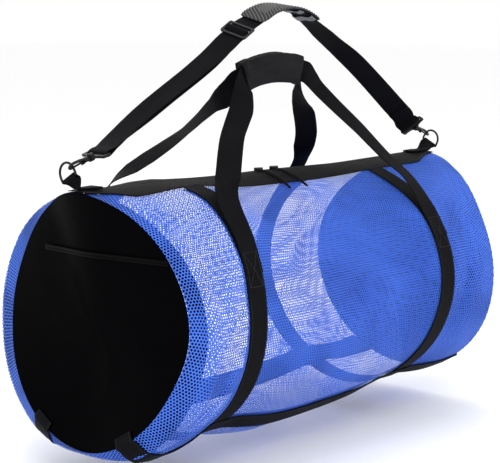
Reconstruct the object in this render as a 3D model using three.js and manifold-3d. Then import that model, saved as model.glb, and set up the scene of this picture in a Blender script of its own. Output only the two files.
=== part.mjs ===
// Mesh dive gear bag: a barrel of open mesh cloth with webbing hoops, hand grips and a shoulder strap.
// Millimetres, +X along the bag, +Y to its far side, +Z up.
// The bag hangs by its strap, so the origin is where a shoulder carries the pad.

import * as THREE from 'three';
import { mergeVertices } from 'three/addons/utils/BufferGeometryUtils.js';
import Module from 'manifold-3d';

const wasm = await Module();
wasm.setup();

// Driving dimensions of the cloth
const bagLength = 762;        // rim to rim, at the sides
const bagRadius = 190.5;      // of the cut end discs
const cloth = 2;              // wall of the mesh and of the end panels
const clearance = 0.35;       // kept between neighbouring pieces
const seamWidth = 24;         // black allowance inside the near rim
const seamCloth = 1.2;
const domeRise = 8;           // the end panels swell outwards this far

// Driving dimensions of the webbing
const webWidth = 38;
const webThick = 1.6;
const tabWidth = 24;          // the narrow webbing that holds each ring
const hoopPlaces = { hoop_left: -235, hoop_right: 225 };
const strapTurn = 151;        // the bottom straps, in degrees from the top
const foldOver = 13;          // their ends turn over the rim

// Driving dimensions of the zips
const slotHalf = 33;          // the opening in the mesh, each way from the middle
const bandHalf = 51;          // the tapes reach this far each way
const coilWidth = 5;
const coilHigh = 2.2;
const sliderLong = 15;
const sliderWide = 10;
const sliderHigh = 4.5;
const sliderPlaces = { left: -22, right: 16 };
const pullLong = 58;
const pullCord = 2.6;
const pocketWide = 8;
const pocket = { rise: 0.54, from: -0.766, to: 0.525 }; // on the near panel, as shares of bagRadius

// Driving dimensions of the rings and hooks
const ringWire = 4;
const ringInside = 27;
const ringTall = 20;
const hookRod = 4.4;
const hookPlay = 1.6;         // room between the ring's wire and the hook
const shankLong = 22.4;
const stemWide = 8;
const stemLong = 9.6;
const neckWide = 5;
const bossWide = 12;
const bossLong = 7;
const railHigh = 4;
const barHigh = 3.6;
const frameThick = 3.6;
const frameSlot = 7.4;
const frameSide = 3.6;
const frameCorner = 3;
const gateThick = 3.4;
const gateHead = 5;
const pinWide = 2;
const earThick = 1.2;

// Driving dimensions of the shoulder strap's fittings
const padLong = 146;
const padWide = 50;
const padThick = 3.6;
const ribRise = 1.2;
const ribPitch = 7;
const patchLong = 36;         // the smooth raised patch near the pad's left end
const keeperWide = 13;
const keeperThick = 1.2;
const keeperPlaces = { pad_keeper_middle: 0.185, pad_keeper_right: 0.411 }; // shares of padLong from its middle
const triLong = 30;           // the slider on the strap, along the webbing
const triThick = 2.6;
const triBar = 4;
const triEdge = 4;
const tailLong = 42;

// Driving dimensions of the grip
const gripLong = 136;
const gripTall = 49;
const gripDeep = 15;
const gripWall = 2.6;         // above and below the webbing
const gripPadding = 5.1;      // beside it

const halfLength = bagLength / 2;
const half = webWidth / 2;
const radians = THREE.MathUtils.degToRad;
const V = (x, y, z) => new THREE.Vector3(x, y, z);
const slotTurn = THREE.MathUtils.radToDeg(slotHalf / bagRadius);
const bandTurn = THREE.MathUtils.radToDeg(bandHalf / bagRadius);
const tapeTurn = THREE.MathUtils.radToDeg((coilWidth / 2 + clearance) / bagRadius);
const coilTurn = THREE.MathUtils.radToDeg(coilWidth / 2 / bagRadius);
const webTurn = THREE.MathUtils.radToDeg(half / bagRadius);

// The cloth's radius, as shares of bagRadius, at seven turns from the top to the bottom.
// The column at is the place along the bag, as a share of halfLength.
const sections = [
  { at: -1.00, top: 1.02, crown: 0.975, shoulder: 0.95, side: 0.97, flank: 0.95, keelside: 0.955, keel: 0.98 },
  { at: -0.97, top: 1.02, crown: 1.02, shoulder: 1.08, side: 1.13, flank: 1.12, keelside: 1.09, keel: 1.04 },
  { at: -0.88, top: 1.01, crown: 1.00, shoulder: 1.04, side: 1.10, flank: 1.12, keelside: 1.11, keel: 1.06 },
  { at: -0.617, top: 1.01, crown: 1.05, shoulder: 1.00, side: 0.965, flank: 0.975, keelside: 1.00, keel: 1.05 },
  { at: -0.30, top: 1.00, crown: 0.93, shoulder: 0.93, side: 0.98, flank: 1.02, keelside: 1.08, keel: 1.16 },
  { at: 0.00, top: 1.00, crown: 0.90, shoulder: 0.91, side: 0.97, flank: 1.03, keelside: 1.09, keel: 1.15 },
  { at: 0.30, top: 0.99, crown: 0.91, shoulder: 0.94, side: 1.00, flank: 1.03, keelside: 1.07, keel: 1.10 },
  { at: 0.59, top: 0.98, crown: 0.975, shoulder: 1.04, side: 1.06, flank: 1.03, keelside: 1.01, keel: 1.02 },
  { at: 0.85, top: 0.99, crown: 0.98, shoulder: 1.02, side: 1.06, flank: 1.06, keelside: 1.05, keel: 1.05 },
  { at: 1.00, top: 1.00, crown: 0.99, shoulder: 1.005, side: 1.03, flank: 1.04, keelside: 1.045, keel: 1.05 },
];
const turns = ['top', 'crown', 'shoulder', 'side', 'flank', 'keelside', 'keel'];

// The rims bow outwards at the top and bottom, as shares of bagRadius.
const bows = [
  { turn: 'top', near: 0.19, far: 0.34 },
  { turn: 'crown', near: 0.06, far: 0.18 },
  { turn: 'shoulder', near: -0.01, far: 0.01 },
  { turn: 'side', near: 0.00, far: -0.01 },
  { turn: 'flank', near: 0.10, far: 0.035 },
  { turn: 'keelside', near: 0.17, far: 0.065 },
  { turn: 'keel', near: 0.175, far: 0.085 },
];
const bowStart = 0.7;         // as a share of halfLength

// Creases of the cloth. at is a share of halfLength, turn and heading are degrees,
// long, wide and deep are shares of bagRadius, and a negative depth is a ridge.
const folds = [
  { at: -0.965, turn: 95, heading: 90, long: 1.1, wide: 0.05, deep: -0.06 },
  { at: -0.965, turn: 285, heading: 90, long: 1.0, wide: 0.05, deep: 0.07 },
  { at: -0.83, turn: 250, heading: 70, long: 0.55, wide: 0.09, deep: 0.035 },
  { at: -0.76, turn: 285, heading: 60, long: 0.40, wide: 0.08, deep: -0.025 },
  { at: -0.80, turn: 110, heading: -65, long: 0.50, wide: 0.09, deep: 0.030 },
  { at: -0.36, turn: 300, heading: 28, long: 0.60, wide: 0.10, deep: 0.035 },
  { at: -0.12, turn: 318, heading: 22, long: 0.50, wide: 0.08, deep: -0.025 },
  { at: -0.20, turn: 255, heading: 35, long: 0.70, wide: 0.12, deep: 0.030 },
  { at: 0.20, turn: 290, heading: -25, long: 0.55, wide: 0.10, deep: 0.030 },
  { at: 0.15, turn: 230, heading: 12, long: 0.70, wide: 0.12, deep: -0.025 },
  { at: -0.25, turn: 60, heading: -30, long: 0.60, wide: 0.10, deep: 0.035 },
  { at: 0.10, turn: 105, heading: 20, long: 0.70, wide: 0.12, deep: 0.030 },
  { at: 0.28, turn: 45, heading: 30, long: 0.45, wide: 0.09, deep: -0.025 },
  { at: 0.78, turn: 275, heading: 75, long: 0.45, wide: 0.08, deep: 0.025 },
  { at: 0.80, turn: 80, heading: -70, long: 0.50, wide: 0.09, deep: 0.025 },
];

// A smooth value between four rows, at the share f from the second to the third
function between(before, from, to, after, f) {
  const rise = (to - before) / 2;
  const fall = (after - from) / 2;
  const f2 = f * f;
  const f3 = f2 * f;
  return from * (2 * f3 - 3 * f2 + 1) + rise * (f3 - 2 * f2 + f) + to * (3 * f2 - 2 * f3) + fall * (f3 - f2);
}

// A value read round the section: the same on both sides, smooth at the top and the bottom
function roundValue(values, turn) {
  const step = 180 / (values.length - 1);
  const folded = Math.abs(((turn % 360) + 540) % 360 - 180);
  const place = folded / step;
  const last = values.length - 1;
  const i = Math.min(Math.floor(place), last - 1);
  const mirror = (k) => values[k < 0 ? -k : k > last ? 2 * last - k : k];
  return between(mirror(i - 1), values[i], values[i + 1], mirror(i + 2), place - i);
}

function creases(along, turn) {
  let sum = 0;
  for (const fold of folds) {
    const dx = (along - fold.at * halfLength) / bagRadius;
    const dt = radians(((turn - fold.turn + 540) % 360) - 180);
    const h = radians(fold.heading);
    const p = dx * Math.cos(h) + dt * Math.sin(h);
    const q = -dx * Math.sin(h) + dt * Math.cos(h);
    sum -= fold.deep * Math.exp(-((q / fold.wide) ** 2) - (p / fold.long) ** 4);
  }
  return sum;
}

function clothRadius(along, turn) {
  const share = THREE.MathUtils.clamp(along / halfLength, -1, 1);
  let i = 0;
  while (i < sections.length - 2 && share > sections[i + 1].at) i += 1;
  const row = (k) => sections[THREE.MathUtils.clamp(k, 0, sections.length - 1)];
  const read = (k) => roundValue(turns.map((name) => row(k)[name]), turn);
  const f = (share - row(i).at) / (row(i + 1).at - row(i).at);
  return bagRadius * (between(read(i - 1), read(i), read(i + 1), read(i + 2), f) + creases(along, turn));
}

// A hoop holds the cloth at one radius across its width.
function hoopAt(along) {
  return Object.values(hoopPlaces).find((place) => Math.abs(along - place) <= half + 0.01);
}

function clothPoint(along, turn) {
  const x = THREE.MathUtils.clamp(along, -halfLength, halfLength);
  const side = Math.sign(x);
  const bow = roundValue(bows.map((row) => (side < 0 ? row.near : row.far)), turn) * bagRadius;
  const f = THREE.MathUtils.clamp((Math.abs(x) / halfLength - bowStart) / (1 - bowStart), 0, 1);
  const r = clothRadius(hoopAt(along) ?? x, turn);
  const t = radians(turn);
  return V(x + side * bow * f * f, r * Math.sin(t), r * Math.cos(t));
}

// A point lifted off the cloth's outer face along its normal
function skin(along, turn, lift) {
  const step = 3;
  const round = clothPoint(along, turn + 1).sub(clothPoint(along, turn - 1));
  const length = hoopAt(along) === undefined
    ? clothPoint(along + step, turn).sub(clothPoint(along - step, turn))
    : V(1, 0, 0);
  const out = round.cross(length).normalize();
  const point = clothPoint(along, turn);
  if (out.dot(V(0, point.y, point.z)) < 0) out.negate();
  return point.addScaledVector(out, lift);
}

// One closed body through rings of points. Each ring goes along its outer face
// and back along its inner face, so that point i lies over point n - 1 - i.
function loft(rings, loop = false) {
  const n = rings[0].length;
  const middle = n / 2;
  const faces = [];
  const spans = loop ? rings.length : rings.length - 1;
  for (let k = 0; k < spans; k += 1) {
    const next = ((k + 1) % rings.length) * n;
    for (let i = 0; i < n; i += 1) {
      const j = (i + 1) % n;
      const [a, b, c, d] = [k * n + i, k * n + j, next + j, next + i];
      if (i < middle) faces.push(a, b, c, a, c, d);
      else faces.push(a, b, d, b, c, d);
    }
  }
  if (!loop) {
    const end = (rings.length - 1) * n;
    for (let i = 0; i < middle - 1; i += 1) {
      const [a, b, c, d] = [i, i + 1, n - 2 - i, n - 1 - i];
      faces.push(b, a, d, b, d, c);
      faces.push(end + a, end + b, end + c, end + a, end + c, end + d);
    }
  }
  return closedBody(rings.flat(), faces);
}

// A body's faces all point out of it.
function closedBody(points, faces) {
  let volume = 0;
  for (let i = 0; i < faces.length; i += 3) {
    const [a, b, c] = [points[faces[i]], points[faces[i + 1]], points[faces[i + 2]]];
    volume += a.dot(b.clone().cross(c));
  }
  const order = volume < 0 ? faces.slice().reverse() : faces;
  const geometry = new THREE.BufferGeometry();
  geometry.setAttribute('position', new THREE.Float32BufferAttribute(points.flatMap((p) => [p.x, p.y, p.z]), 3));
  geometry.setIndex(order);
  return geometry;
}

// Joins and cuts of closed meshes
function toSolid(geometry) {
  const bare = geometry.clone();
  for (const name of Object.keys(bare.attributes)) {
    if (name !== 'position') bare.deleteAttribute(name);
  }
  const merged = mergeVertices(bare, 1e-4);
  return new wasm.Manifold(new wasm.Mesh({
    numProp: 3,
    vertProperties: new Float32Array(merged.attributes.position.array),
    triVerts: new Uint32Array(merged.index.array),
  }));
}

function toGeometry(solid) {
  const mesh = solid.getMesh();
  const geometry = new THREE.BufferGeometry();
  geometry.setAttribute('position', new THREE.BufferAttribute(mesh.vertProperties, 3));
  geometry.setIndex(new THREE.BufferAttribute(mesh.triVerts, 1));
  return geometry;
}

function joined(first, ...others) {
  return toGeometry(others.reduce((sum, item) => sum.add(toSolid(item)), toSolid(first)));
}

function cut(geometry, tool) {
  return toGeometry(toSolid(geometry).subtract(toSolid(tool)));
}

// Evenly spread values between the wanted ones, no further apart than the step
function spread(wanted, step) {
  const values = [];
  for (let i = 0; i < wanted.length - 1; i += 1) {
    const count = Math.max(1, Math.round((wanted[i + 1] - wanted[i]) / step));
    for (let k = 0; k < count; k += 1) values.push(wanted[i] + ((wanted[i + 1] - wanted[i]) * k) / count);
  }
  values.push(wanted[wanted.length - 1]);
  return values;
}

// A sheet on the cloth, between two lifts, over the given places and turns
function sheet(places, around, low, high) {
  return places.map((along) => {
    const over = around.map((turn) => skin(along, turn, high(along)));
    const under = around.map((turn) => skin(along, turn, low(along)));
    return [...over, ...under.reverse()];
  });
}

// The places and turns that the cloth and all that lies on it share
const ramp = 12;
const lip = [6, 16, 29];
const hoopEdges = Object.values(hoopPlaces).flatMap((x) => [x - half - ramp, x - half, x + half, x + half + ramp]);
const places = spread([
  -halfLength, ...lip.map((d) => d - halfLength), ...hoopEdges,
  halfLength - lip[2], halfLength - lip[1] + 3, halfLength,
], 38);
const strapEdges = [strapTurn - webTurn, strapTurn + webTurn];
const halfAround = spread([slotTurn, bandTurn, ...strapEdges, 180], 12.5);
const around = [...halfAround, ...halfAround.slice(0, -1).reverse().map((turn) => 360 - turn)];
const inside = (from, to) => (value) => value >= from - 0.001 && value <= to + 0.001;

const black = (color, roughness, metalness = 0) => new THREE.MeshStandardMaterial({ color, roughness, metalness });
const mesh = {
  blue: () => new THREE.MeshStandardMaterial({ color: 0x3f6fe0, roughness: 0.7, metalness: 0 }),
  panel: () => black(0x0d0f12, 0.45),
  webbing: () => black(0x17181b, 0.8),
  plastic: () => black(0x1a1b1d, 0.45),
  metal: () => black(0x151516, 0.35, 0.6),
  rubber: () => black(0x2a2b2b, 0.6),
  grey: () => black(0x8a8d90, 0.85),
};

const bag = new THREE.Group();
function add(name, geometry, material) {
  const node = new THREE.Mesh(geometry, material);
  node.name = name;
  bag.add(node);
  return node;
}

// Barrel of mesh cloth, open along the zip
add('mesh_barrel', loft(sheet(places, around, () => -cloth, () => 0)), mesh.blue());

// Black allowance of the near seam, inside the mesh
const allowance = places.filter(inside(-halfLength + lip[0], -halfLength + lip[0] + seamWidth));
const seamLift = -cloth - clearance;
add('seam_allowance', loft(sheet(allowance, around, () => seamLift - seamCloth, () => seamLift)), mesh.panel());

// Webbing hoops, from one zip tape round the bottom to the other
const webLow = () => clearance;
const webHigh = () => clearance + webThick;
const hoopAround = around.filter(inside(bandTurn + 1, 360 - bandTurn - 1));
const hoopTop = THREE.MathUtils.radToDeg(clearance / bagRadius);
const hoopTurns = [bandTurn + hoopTop, ...hoopAround, 360 - bandTurn - hoopTop];
for (const [name, place] of Object.entries(hoopPlaces)) {
  add(name, loft(sheet([place - half, place + half], hoopTurns, webLow, webHigh)), mesh.webbing());
}

// End panels: the rim's outline, swelling a little
function panelEdge(side, turn) {
  const rim = skin(side * halfLength, turn, -cloth);
  return Math.hypot(rim.y, rim.z) - clearance;
}
function panelPoint(side, share, turn, lift) {
  const rim = clothPoint(side * halfLength, turn);
  const t = radians(turn);
  const r = panelEdge(side, turn) * share;
  const reach = halfLength + (Math.abs(rim.x) - halfLength) * share ** 2 + domeRise * (1 - share ** 2);
  return V(side * (reach + lift), r * Math.sin(t), r * Math.cos(t));
}
function dish(side) {
  const spokes = [...around, ...spread([-slotTurn, slotTurn], 11).slice(1, -1)];
  const shares = [0.35, 0.6, 0.8, 0.93, 1];
  const n = spokes.length;
  const points = [];
  for (const lift of [0, -cloth]) {
    points.push(panelPoint(side, 0, 0, lift));
    for (const share of shares) points.push(...spokes.map((turn) => panelPoint(side, share, turn, lift)));
  }
  const inner = 1 + shares.length * n;
  const faces = [];
  for (let i = 0; i < n; i += 1) {
    const j = (i + 1) % n;
    faces.push(0, 1 + i, 1 + j, inner, inner + 1 + j, inner + 1 + i);
    for (let k = 0; k < shares.length - 1; k += 1) {
      const [a, b, c, d] = [1 + k * n + i, 1 + (k + 1) * n + i, 1 + (k + 1) * n + j, 1 + k * n + j];
      faces.push(a, b, c, a, c, d, inner + a, inner + c, inner + b, inner + a, inner + d, inner + c);
    }
    const rim = 1 + (shares.length - 1) * n;
    faces.push(rim + i, inner + rim + i, inner + rim + j, rim + i, inner + rim + j, rim + j);
  }
  return closedBody(points, faces);
}
add('end_panel_near', dish(-1), mesh.panel());
add('end_panel_far', dish(1), mesh.blue());

// Pocket zip across the near panel
function onNearPanel(y, z, lift) {
  const turn = THREE.MathUtils.radToDeg(Math.atan2(y, z));
  return panelPoint(-1, Math.hypot(y, z) / panelEdge(-1, turn), turn, lift);
}
const pocketLift = 0.9;
const pocketTop = pocket.rise * bagRadius + pocketWide / 2;
const pocketFoot = pocketTop - pocketWide;
const pocketRings = spread([pocket.from * bagRadius, pocket.to * bagRadius], 22).map((y) => [
  onNearPanel(y, pocketTop, pocketLift + webThick),
  onNearPanel(y, pocketFoot, pocketLift + webThick),
  onNearPanel(y, pocketFoot, pocketLift),
  onNearPanel(y, pocketTop, pocketLift),
]);
add('pocket_zip', loft(pocketRings), mesh.plastic());

// Bottom straps: they climb over the hoops and turn over both rims
const overHoop = webThick + clearance;
const strapLow = (along) => clearance + (hoopAt(along) === undefined ? 0 : overHoop);
function strapEnd(side, across) {
  const corner = across.map((turn) => {
    const rim = clothPoint(side * halfLength, turn);
    const out = V(0, rim.y, rim.z).normalize();
    const face = rim.clone().add(V(side * clearance, 0, 0)).addScaledVector(out, clearance);
    return [face.clone().add(V(side * webThick, 0, 0)).addScaledVector(out, webThick), face];
  });
  const onPanel = (share) => across.map((turn) => [
    panelPoint(side, share, turn, clearance + webThick),
    panelPoint(side, share, turn, clearance),
  ]);
  const rows = [corner, onPanel(1), onPanel(1 - foldOver / bagRadius)];
  return rows.map((row) => [...row.map((pair) => pair[0]), ...row.map((pair) => pair[1]).reverse()]);
}
for (const [name, side] of Object.entries({ bottom_strap_near: -1, bottom_strap_far: 1 })) {
  const across = side < 0 ? strapEdges.map((turn) => 360 - turn).reverse() : strapEdges;
  const length = sheet(places, across, strapLow, (along) => strapLow(along) + webThick);
  add(name, loft([...strapEnd(-1, across).reverse(), ...length, ...strapEnd(1, across)]), mesh.webbing());
}

// Zip: two tapes over the edges of the slot, and the coil between them
const tapeTurns = {
  zip_tape_near: [360 - bandTurn, 360 - slotTurn, 360 - tapeTurn],
  zip_tape_far: [tapeTurn, slotTurn, bandTurn],
};
for (const [name, across] of Object.entries(tapeTurns)) {
  add(name, loft(sheet(places, across, webLow, webHigh)), mesh.plastic());
}
const coilLow = () => 0;
add('zip_coil', loft(sheet(places, [-coilTurn, coilTurn], coilLow, () => coilHigh)), mesh.plastic());

// Zip sliders and the cord loops that pull them
const ridgeTop = Math.max(coilHigh, clearance + webThick) + clearance;
for (const [side, place] of Object.entries(sliderPlaces)) {
  const outline = new THREE.Shape();
  outline.moveTo(-sliderLong / 2, -sliderWide * 0.3);
  outline.quadraticCurveTo(-sliderLong * 0.45, -sliderWide / 2, 0, -sliderWide / 2);
  outline.quadraticCurveTo(sliderLong * 0.45, -sliderWide / 2, sliderLong / 2, -sliderWide * 0.3);
  outline.lineTo(sliderLong / 2, sliderWide * 0.3);
  outline.quadraticCurveTo(sliderLong * 0.45, sliderWide / 2, 0, sliderWide / 2);
  outline.quadraticCurveTo(-sliderLong * 0.45, sliderWide / 2, -sliderLong / 2, sliderWide * 0.3);
  const body = new THREE.ExtrudeGeometry(outline, { depth: sliderHigh, bevelEnabled: false, curveSegments: 4 });
  const slider = add(`zip_slider_${side}`, body, mesh.metal());
  slider.position.copy(skin(place, 0, ridgeTop));
}

// A body swept along points, its section turning with them. scales is how wide it is at each point.
function sweep(points, section, widths, loop = false, scales = []) {
  const rings = points.map((point, i) => {
    const before = points[loop ? (i + points.length - 1) % points.length : Math.max(i - 1, 0)];
    const after = points[loop ? (i + 1) % points.length : Math.min(i + 1, points.length - 1)];
    const way = after.clone().sub(before).normalize();
    const across = widths[i].clone().addScaledVector(way, -widths[i].dot(way)).normalize();
    const out = way.clone().cross(across);
    const scale = scales[i] ?? 1;
    return section.map(([w, h]) => point.clone().addScaledVector(across, w * scale).addScaledVector(out, h));
  });
  return loft(rings, loop);
}
function flat(width, thick) {
  return [[-width / 2, thick / 2], [width / 2, thick / 2], [width / 2, -thick / 2], [-width / 2, -thick / 2]];
}
function disc(radius, sides = 8) {
  return Array.from({ length: sides }, (_, i) => {
    const a = ((i + 0.5) / sides) * 2 * Math.PI;
    return [radius * Math.cos(a), radius * Math.sin(a)];
  });
}

for (const [side, place] of Object.entries(sliderPlaces)) {
  const lean = side === 'left' ? 3 : 8;
  const loopPoints = [];
  const startTurn = -THREE.MathUtils.radToDeg((sliderWide / 2 + pullCord + 1) / bagRadius);
  const endTurn = startTurn - THREE.MathUtils.radToDeg(pullLong / bagRadius);
  const lift = ridgeTop + pullCord / 2;
  const spot = (f, sway) => skin(place + lean * f + sway, startTurn + (endTurn - startTurn) * f, lift);
  const gape = pullCord * 0.9;
  const bow = pullCord * 0.75 / pullLong;
  for (const f of [0, 0.25, 0.5, 0.75]) loopPoints.push(spot(f, -gape));
  loopPoints.push(spot(1, -gape * 0.7), spot(1 + bow, 0), spot(1, gape * 0.7));
  for (const f of [0.75, 0.5, 0.25, 0]) loopPoints.push(spot(f, gape));
  loopPoints.push(spot(-bow, 0));
  const upright = loopPoints.map(() => V(0, -0.3, 1));
  add(`zip_pull_${side}`, sweep(loopPoints, disc(pullCord / 2, 6), upright, true), mesh.plastic());
}

// Each end of the bag: where the ring stands over the rim's top, how it leans, and how its hook lies.
// out and up are millimetres from the rim's top, tilt and rise are degrees,
// grip is the turn round the ring's bow, in degrees, at which the hook holds it,
// and neck is the share of the tab's width that is left where it is pinched at the rim.
const ends = {
  left: { side: -1, out: 18, up: 31, tilt: -32, grip: 165, rise: 15, barTurn: 0, neck: 0.35 },
  right: { side: 1, out: 22, up: 25, tilt: 28, grip: 15, rise: 19, barTurn: 43, neck: 1 },
};

// The ring: a straight bar for the tab, and a round bow
const ringRadius = (ringInside + ringWire) / 2;
function ringPoint(end, across, up) {
  const top = clothPoint(end.side * halfLength, 0);
  const t = radians(end.tilt);
  const centre = V(top.x + end.side * end.out, 0, top.z + end.up);
  return centre.add(V(0, across * Math.cos(t) - up * Math.sin(t), across * Math.sin(t) + up * Math.cos(t)));
}
const bowCentre = ringTall / 2 + ringWire / 2 - ringRadius;
const barDrop = -(ringTall + ringWire) / 2;
function ringRoute(end) {
  const corner = 1.6;
  const points = [ringPoint(end, -ringRadius + corner, barDrop), ringPoint(end, 0, barDrop)];
  points.push(ringPoint(end, ringRadius - corner, barDrop));
  points.push(ringPoint(end, ringRadius - corner * 0.3, barDrop + corner * 0.3));
  points.push(ringPoint(end, ringRadius, barDrop + corner));
  for (let a = 0; a <= 180; a += 22.5) {
    points.push(ringPoint(end, ringRadius * Math.cos(radians(a)), bowCentre + ringRadius * Math.sin(radians(a))));
  }
  points.push(ringPoint(end, -ringRadius, barDrop + corner));
  points.push(ringPoint(end, -ringRadius + corner * 0.3, barDrop + corner * 0.3));
  return points;
}
for (const [name, end] of Object.entries(ends)) {
  const route = ringRoute(end);
  const level = route.map(() => V(1, 0, 0));
  add(`d_ring_${name}`, sweep(route, disc(ringWire / 2), level, true), mesh.metal());
}

// The tab: doubled webbing sewn on the zip band, round the ring's bar
const barRound = ringWire / 2 + 1.5 * clearance + webThick / 2;
for (const [name, end] of Object.entries(ends)) {
  const t = radians(end.tilt);
  const tilted = V(0, Math.cos(t), Math.sin(t));
  const bar = ringPoint(end, 0, barDrop);
  const upper = ridgeTop + webThick * 1.5 + clearance;
  const lower = ridgeTop + webThick * 0.5;
  const rimPlace = end.side * halfLength;
  const inner = [26, 14, 3].map((d) => skin(rimPlace - end.side * d, 0, lower));
  const outer = [3, 14, 26].map((d) => skin(rimPlace - end.side * d, 0, upper));
  const rim = inner[2];
  const up = bar.clone().sub(rim);
  up.addScaledVector(tilted, -up.dot(tilted)).normalize();
  const off = tilted.clone().cross(up).multiplyScalar(end.side);
  const bend = [-70, -35, 0, 35, 70, 105].map((a) => bar.clone()
    .addScaledVector(up, barRound * Math.cos(radians(a)))
    .addScaledVector(off, -barRound * Math.sin(radians(a))));
  const low = bar.clone().addScaledVector(up, -5).addScaledVector(off, barRound * 0.9);
  const high = bar.clone().addScaledVector(up, -5).addScaledVector(off, -barRound * 0.75);
  const points = [...inner, low, ...bend, high, ...outer];
  const wide = points.map((_, i) => (i < 3 || i > points.length - 4 ? V(0, 1, 0) : tilted));
  const shares = points.map((point) => {
    const f = THREE.MathUtils.smoothstep(point.distanceTo(rim), 4, bar.distanceTo(rim) - barRound);
    return end.neck + (1 - end.neck) * f;
  });
  add(`ring_tab_${name}`, sweep(points, flat(tabWidth, webThick), wide, false, shares), mesh.webbing());
}

// Hooks. Each is made standing on its own axis: +Z from the bend up to the strap's bar,
// +Y from the shank to the nose, and the gate turns about X.
const bendRadius = ringWire / 2 + hookPlay + hookRod / 2;
const noseLong = bendRadius - 0.5;
const pivotUp = shankLong - 2.9;
const pivotOut = bendRadius * 0.45;
const bossFoot = shankLong + stemLong + clearance;
const slotFoot = bossFoot + bossLong + railHigh;
const barUp = slotFoot + frameSlot + barHigh / 2;

function hookBody() {
  const route = [V(0, -1.6, shankLong + 2), V(0, -3.2, shankLong - 2), V(0, -bendRadius * 0.9, shankLong * 0.6)];
  route.push(V(0, -bendRadius, shankLong * 0.3));
  for (let a = 180; a <= 360; a += 22.5) {
    route.push(V(0, bendRadius * Math.cos(radians(a)), bendRadius * Math.sin(radians(a))));
  }
  route.push(V(0, bendRadius, noseLong));
  const rod = sweep(route, disc(hookRod / 2), route.map(() => V(1, 0, 0)));
  const stem = new THREE.CylinderGeometry(stemWide / 2, stemWide / 2, stemLong, 16);
  stem.rotateX(Math.PI / 2).translate(0, 0, shankLong + stemLong / 2);
  const neck = new THREE.CylinderGeometry(neckWide / 2, neckWide / 2, bossLong, 12);
  neck.rotateX(Math.PI / 2).translate(0, 0, shankLong + stemLong + bossLong / 2 - 0.5);
  const pin = new THREE.CylinderGeometry(pinWide / 2, pinWide / 2, gateThick + 2 * earThick, 12);
  pin.rotateZ(Math.PI / 2).translate(0, pivotOut, pivotUp);
  const ears = [-1, 1].map((side) => {
    const ear = new THREE.BoxGeometry(earThick, gateHead, shankLong + 1 - pivotUp + gateHead / 2);
    const x = side * (gateThick / 2 + clearance + earThick / 2);
    return ear.translate(x, pivotOut, (shankLong + 1 + pivotUp - gateHead / 2) / 2);
  });
  return joined(rod, stem, neck, pin, ...ears);
}

function gateBody() {
  const tip = V(0, bendRadius - 0.3, noseLong + 0.9);
  const head = new THREE.CylinderGeometry(gateHead / 2, gateHead / 2, gateThick, 12);
  head.rotateZ(Math.PI / 2).translate(0, pivotOut, pivotUp);
  const lever = sweep([V(0, pivotOut + 0.3, pivotUp - 0.5), tip], disc(gateThick / 2 - 0.2, 8), [V(1, 0, 0), V(1, 0, 0)]);
  const bore = new THREE.CylinderGeometry(pinWide / 2 + clearance, pinWide / 2 + clearance, gateThick * 2, 12);
  bore.rotateZ(Math.PI / 2).translate(0, pivotOut, pivotUp);
  return cut(joined(head, lever), bore);
}

// The frame that the strap goes round: a slotted plate on a round boss
function frameBody() {
  const wide = webWidth / 2 + clearance * 2 + frameSide;
  const top = barUp + barHigh / 2;
  const foot = slotFoot - railHigh;
  const waist = bossFoot + bossLong * 0.4;
  const outline = new THREE.Shape();
  outline.moveTo(bossWide / 2, waist);
  outline.quadraticCurveTo(bossWide * 0.75, foot, wide - frameCorner, foot);
  outline.quadraticCurveTo(wide, foot, wide, foot + frameCorner);
  outline.lineTo(wide, top - frameCorner);
  outline.quadraticCurveTo(wide, top, wide - frameCorner, top);
  outline.lineTo(-wide + frameCorner, top);
  outline.quadraticCurveTo(-wide, top, -wide, top - frameCorner);
  outline.lineTo(-wide, foot + frameCorner);
  outline.quadraticCurveTo(-wide, foot, -wide + frameCorner, foot);
  outline.quadraticCurveTo(-bossWide * 0.75, foot, -bossWide / 2, waist);
  const slot = new THREE.Path();
  const slotHalfWide = wide - frameSide;
  slot.moveTo(-slotHalfWide, slotFoot);
  slot.lineTo(-slotHalfWide, slotFoot + frameSlot);
  slot.lineTo(slotHalfWide, slotFoot + frameSlot);
  slot.lineTo(slotHalfWide, slotFoot);
  outline.holes.push(slot);
  const plate = new THREE.ExtrudeGeometry(outline, { depth: frameThick, bevelEnabled: false, curveSegments: 4 });
  plate.translate(0, 0, -frameThick / 2).rotateX(Math.PI / 2).rotateZ(Math.PI / 2);
  const boss = new THREE.CylinderGeometry(bossWide / 2, bossWide / 2, bossLong, 16);
  boss.rotateX(Math.PI / 2).translate(0, 0, bossFoot + bossLong / 2);
  const bore = new THREE.CylinderGeometry(neckWide / 2 + clearance, neckWide / 2 + clearance, bossLong * 2, 12);
  bore.rotateX(Math.PI / 2).translate(0, 0, bossFoot);
  return cut(joined(plate, boss), bore);
}

// Where each hook lies: the ring's bow runs through its bend
function hookPlace(end) {
  const a = radians(end.grip);
  const at = ringPoint(end, ringRadius * Math.cos(a), bowCentre + ringRadius * Math.sin(a));
  const t = radians(end.tilt);
  const across = V(0, Math.cos(t), Math.sin(t));
  const upward = V(0, -Math.sin(t), Math.cos(t));
  const inward = across.multiplyScalar(-Math.cos(a)).addScaledVector(upward, -Math.sin(a));
  const axis = V(-end.side * Math.cos(radians(end.rise)), 0, Math.sin(radians(end.rise)));
  const nose = inward.addScaledVector(axis, -inward.dot(axis)).normalize();
  const pivot = nose.clone().cross(axis);
  return { at: at.addScaledVector(axis, hookPlay * 0.4), pivot, nose, axis };
}

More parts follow.
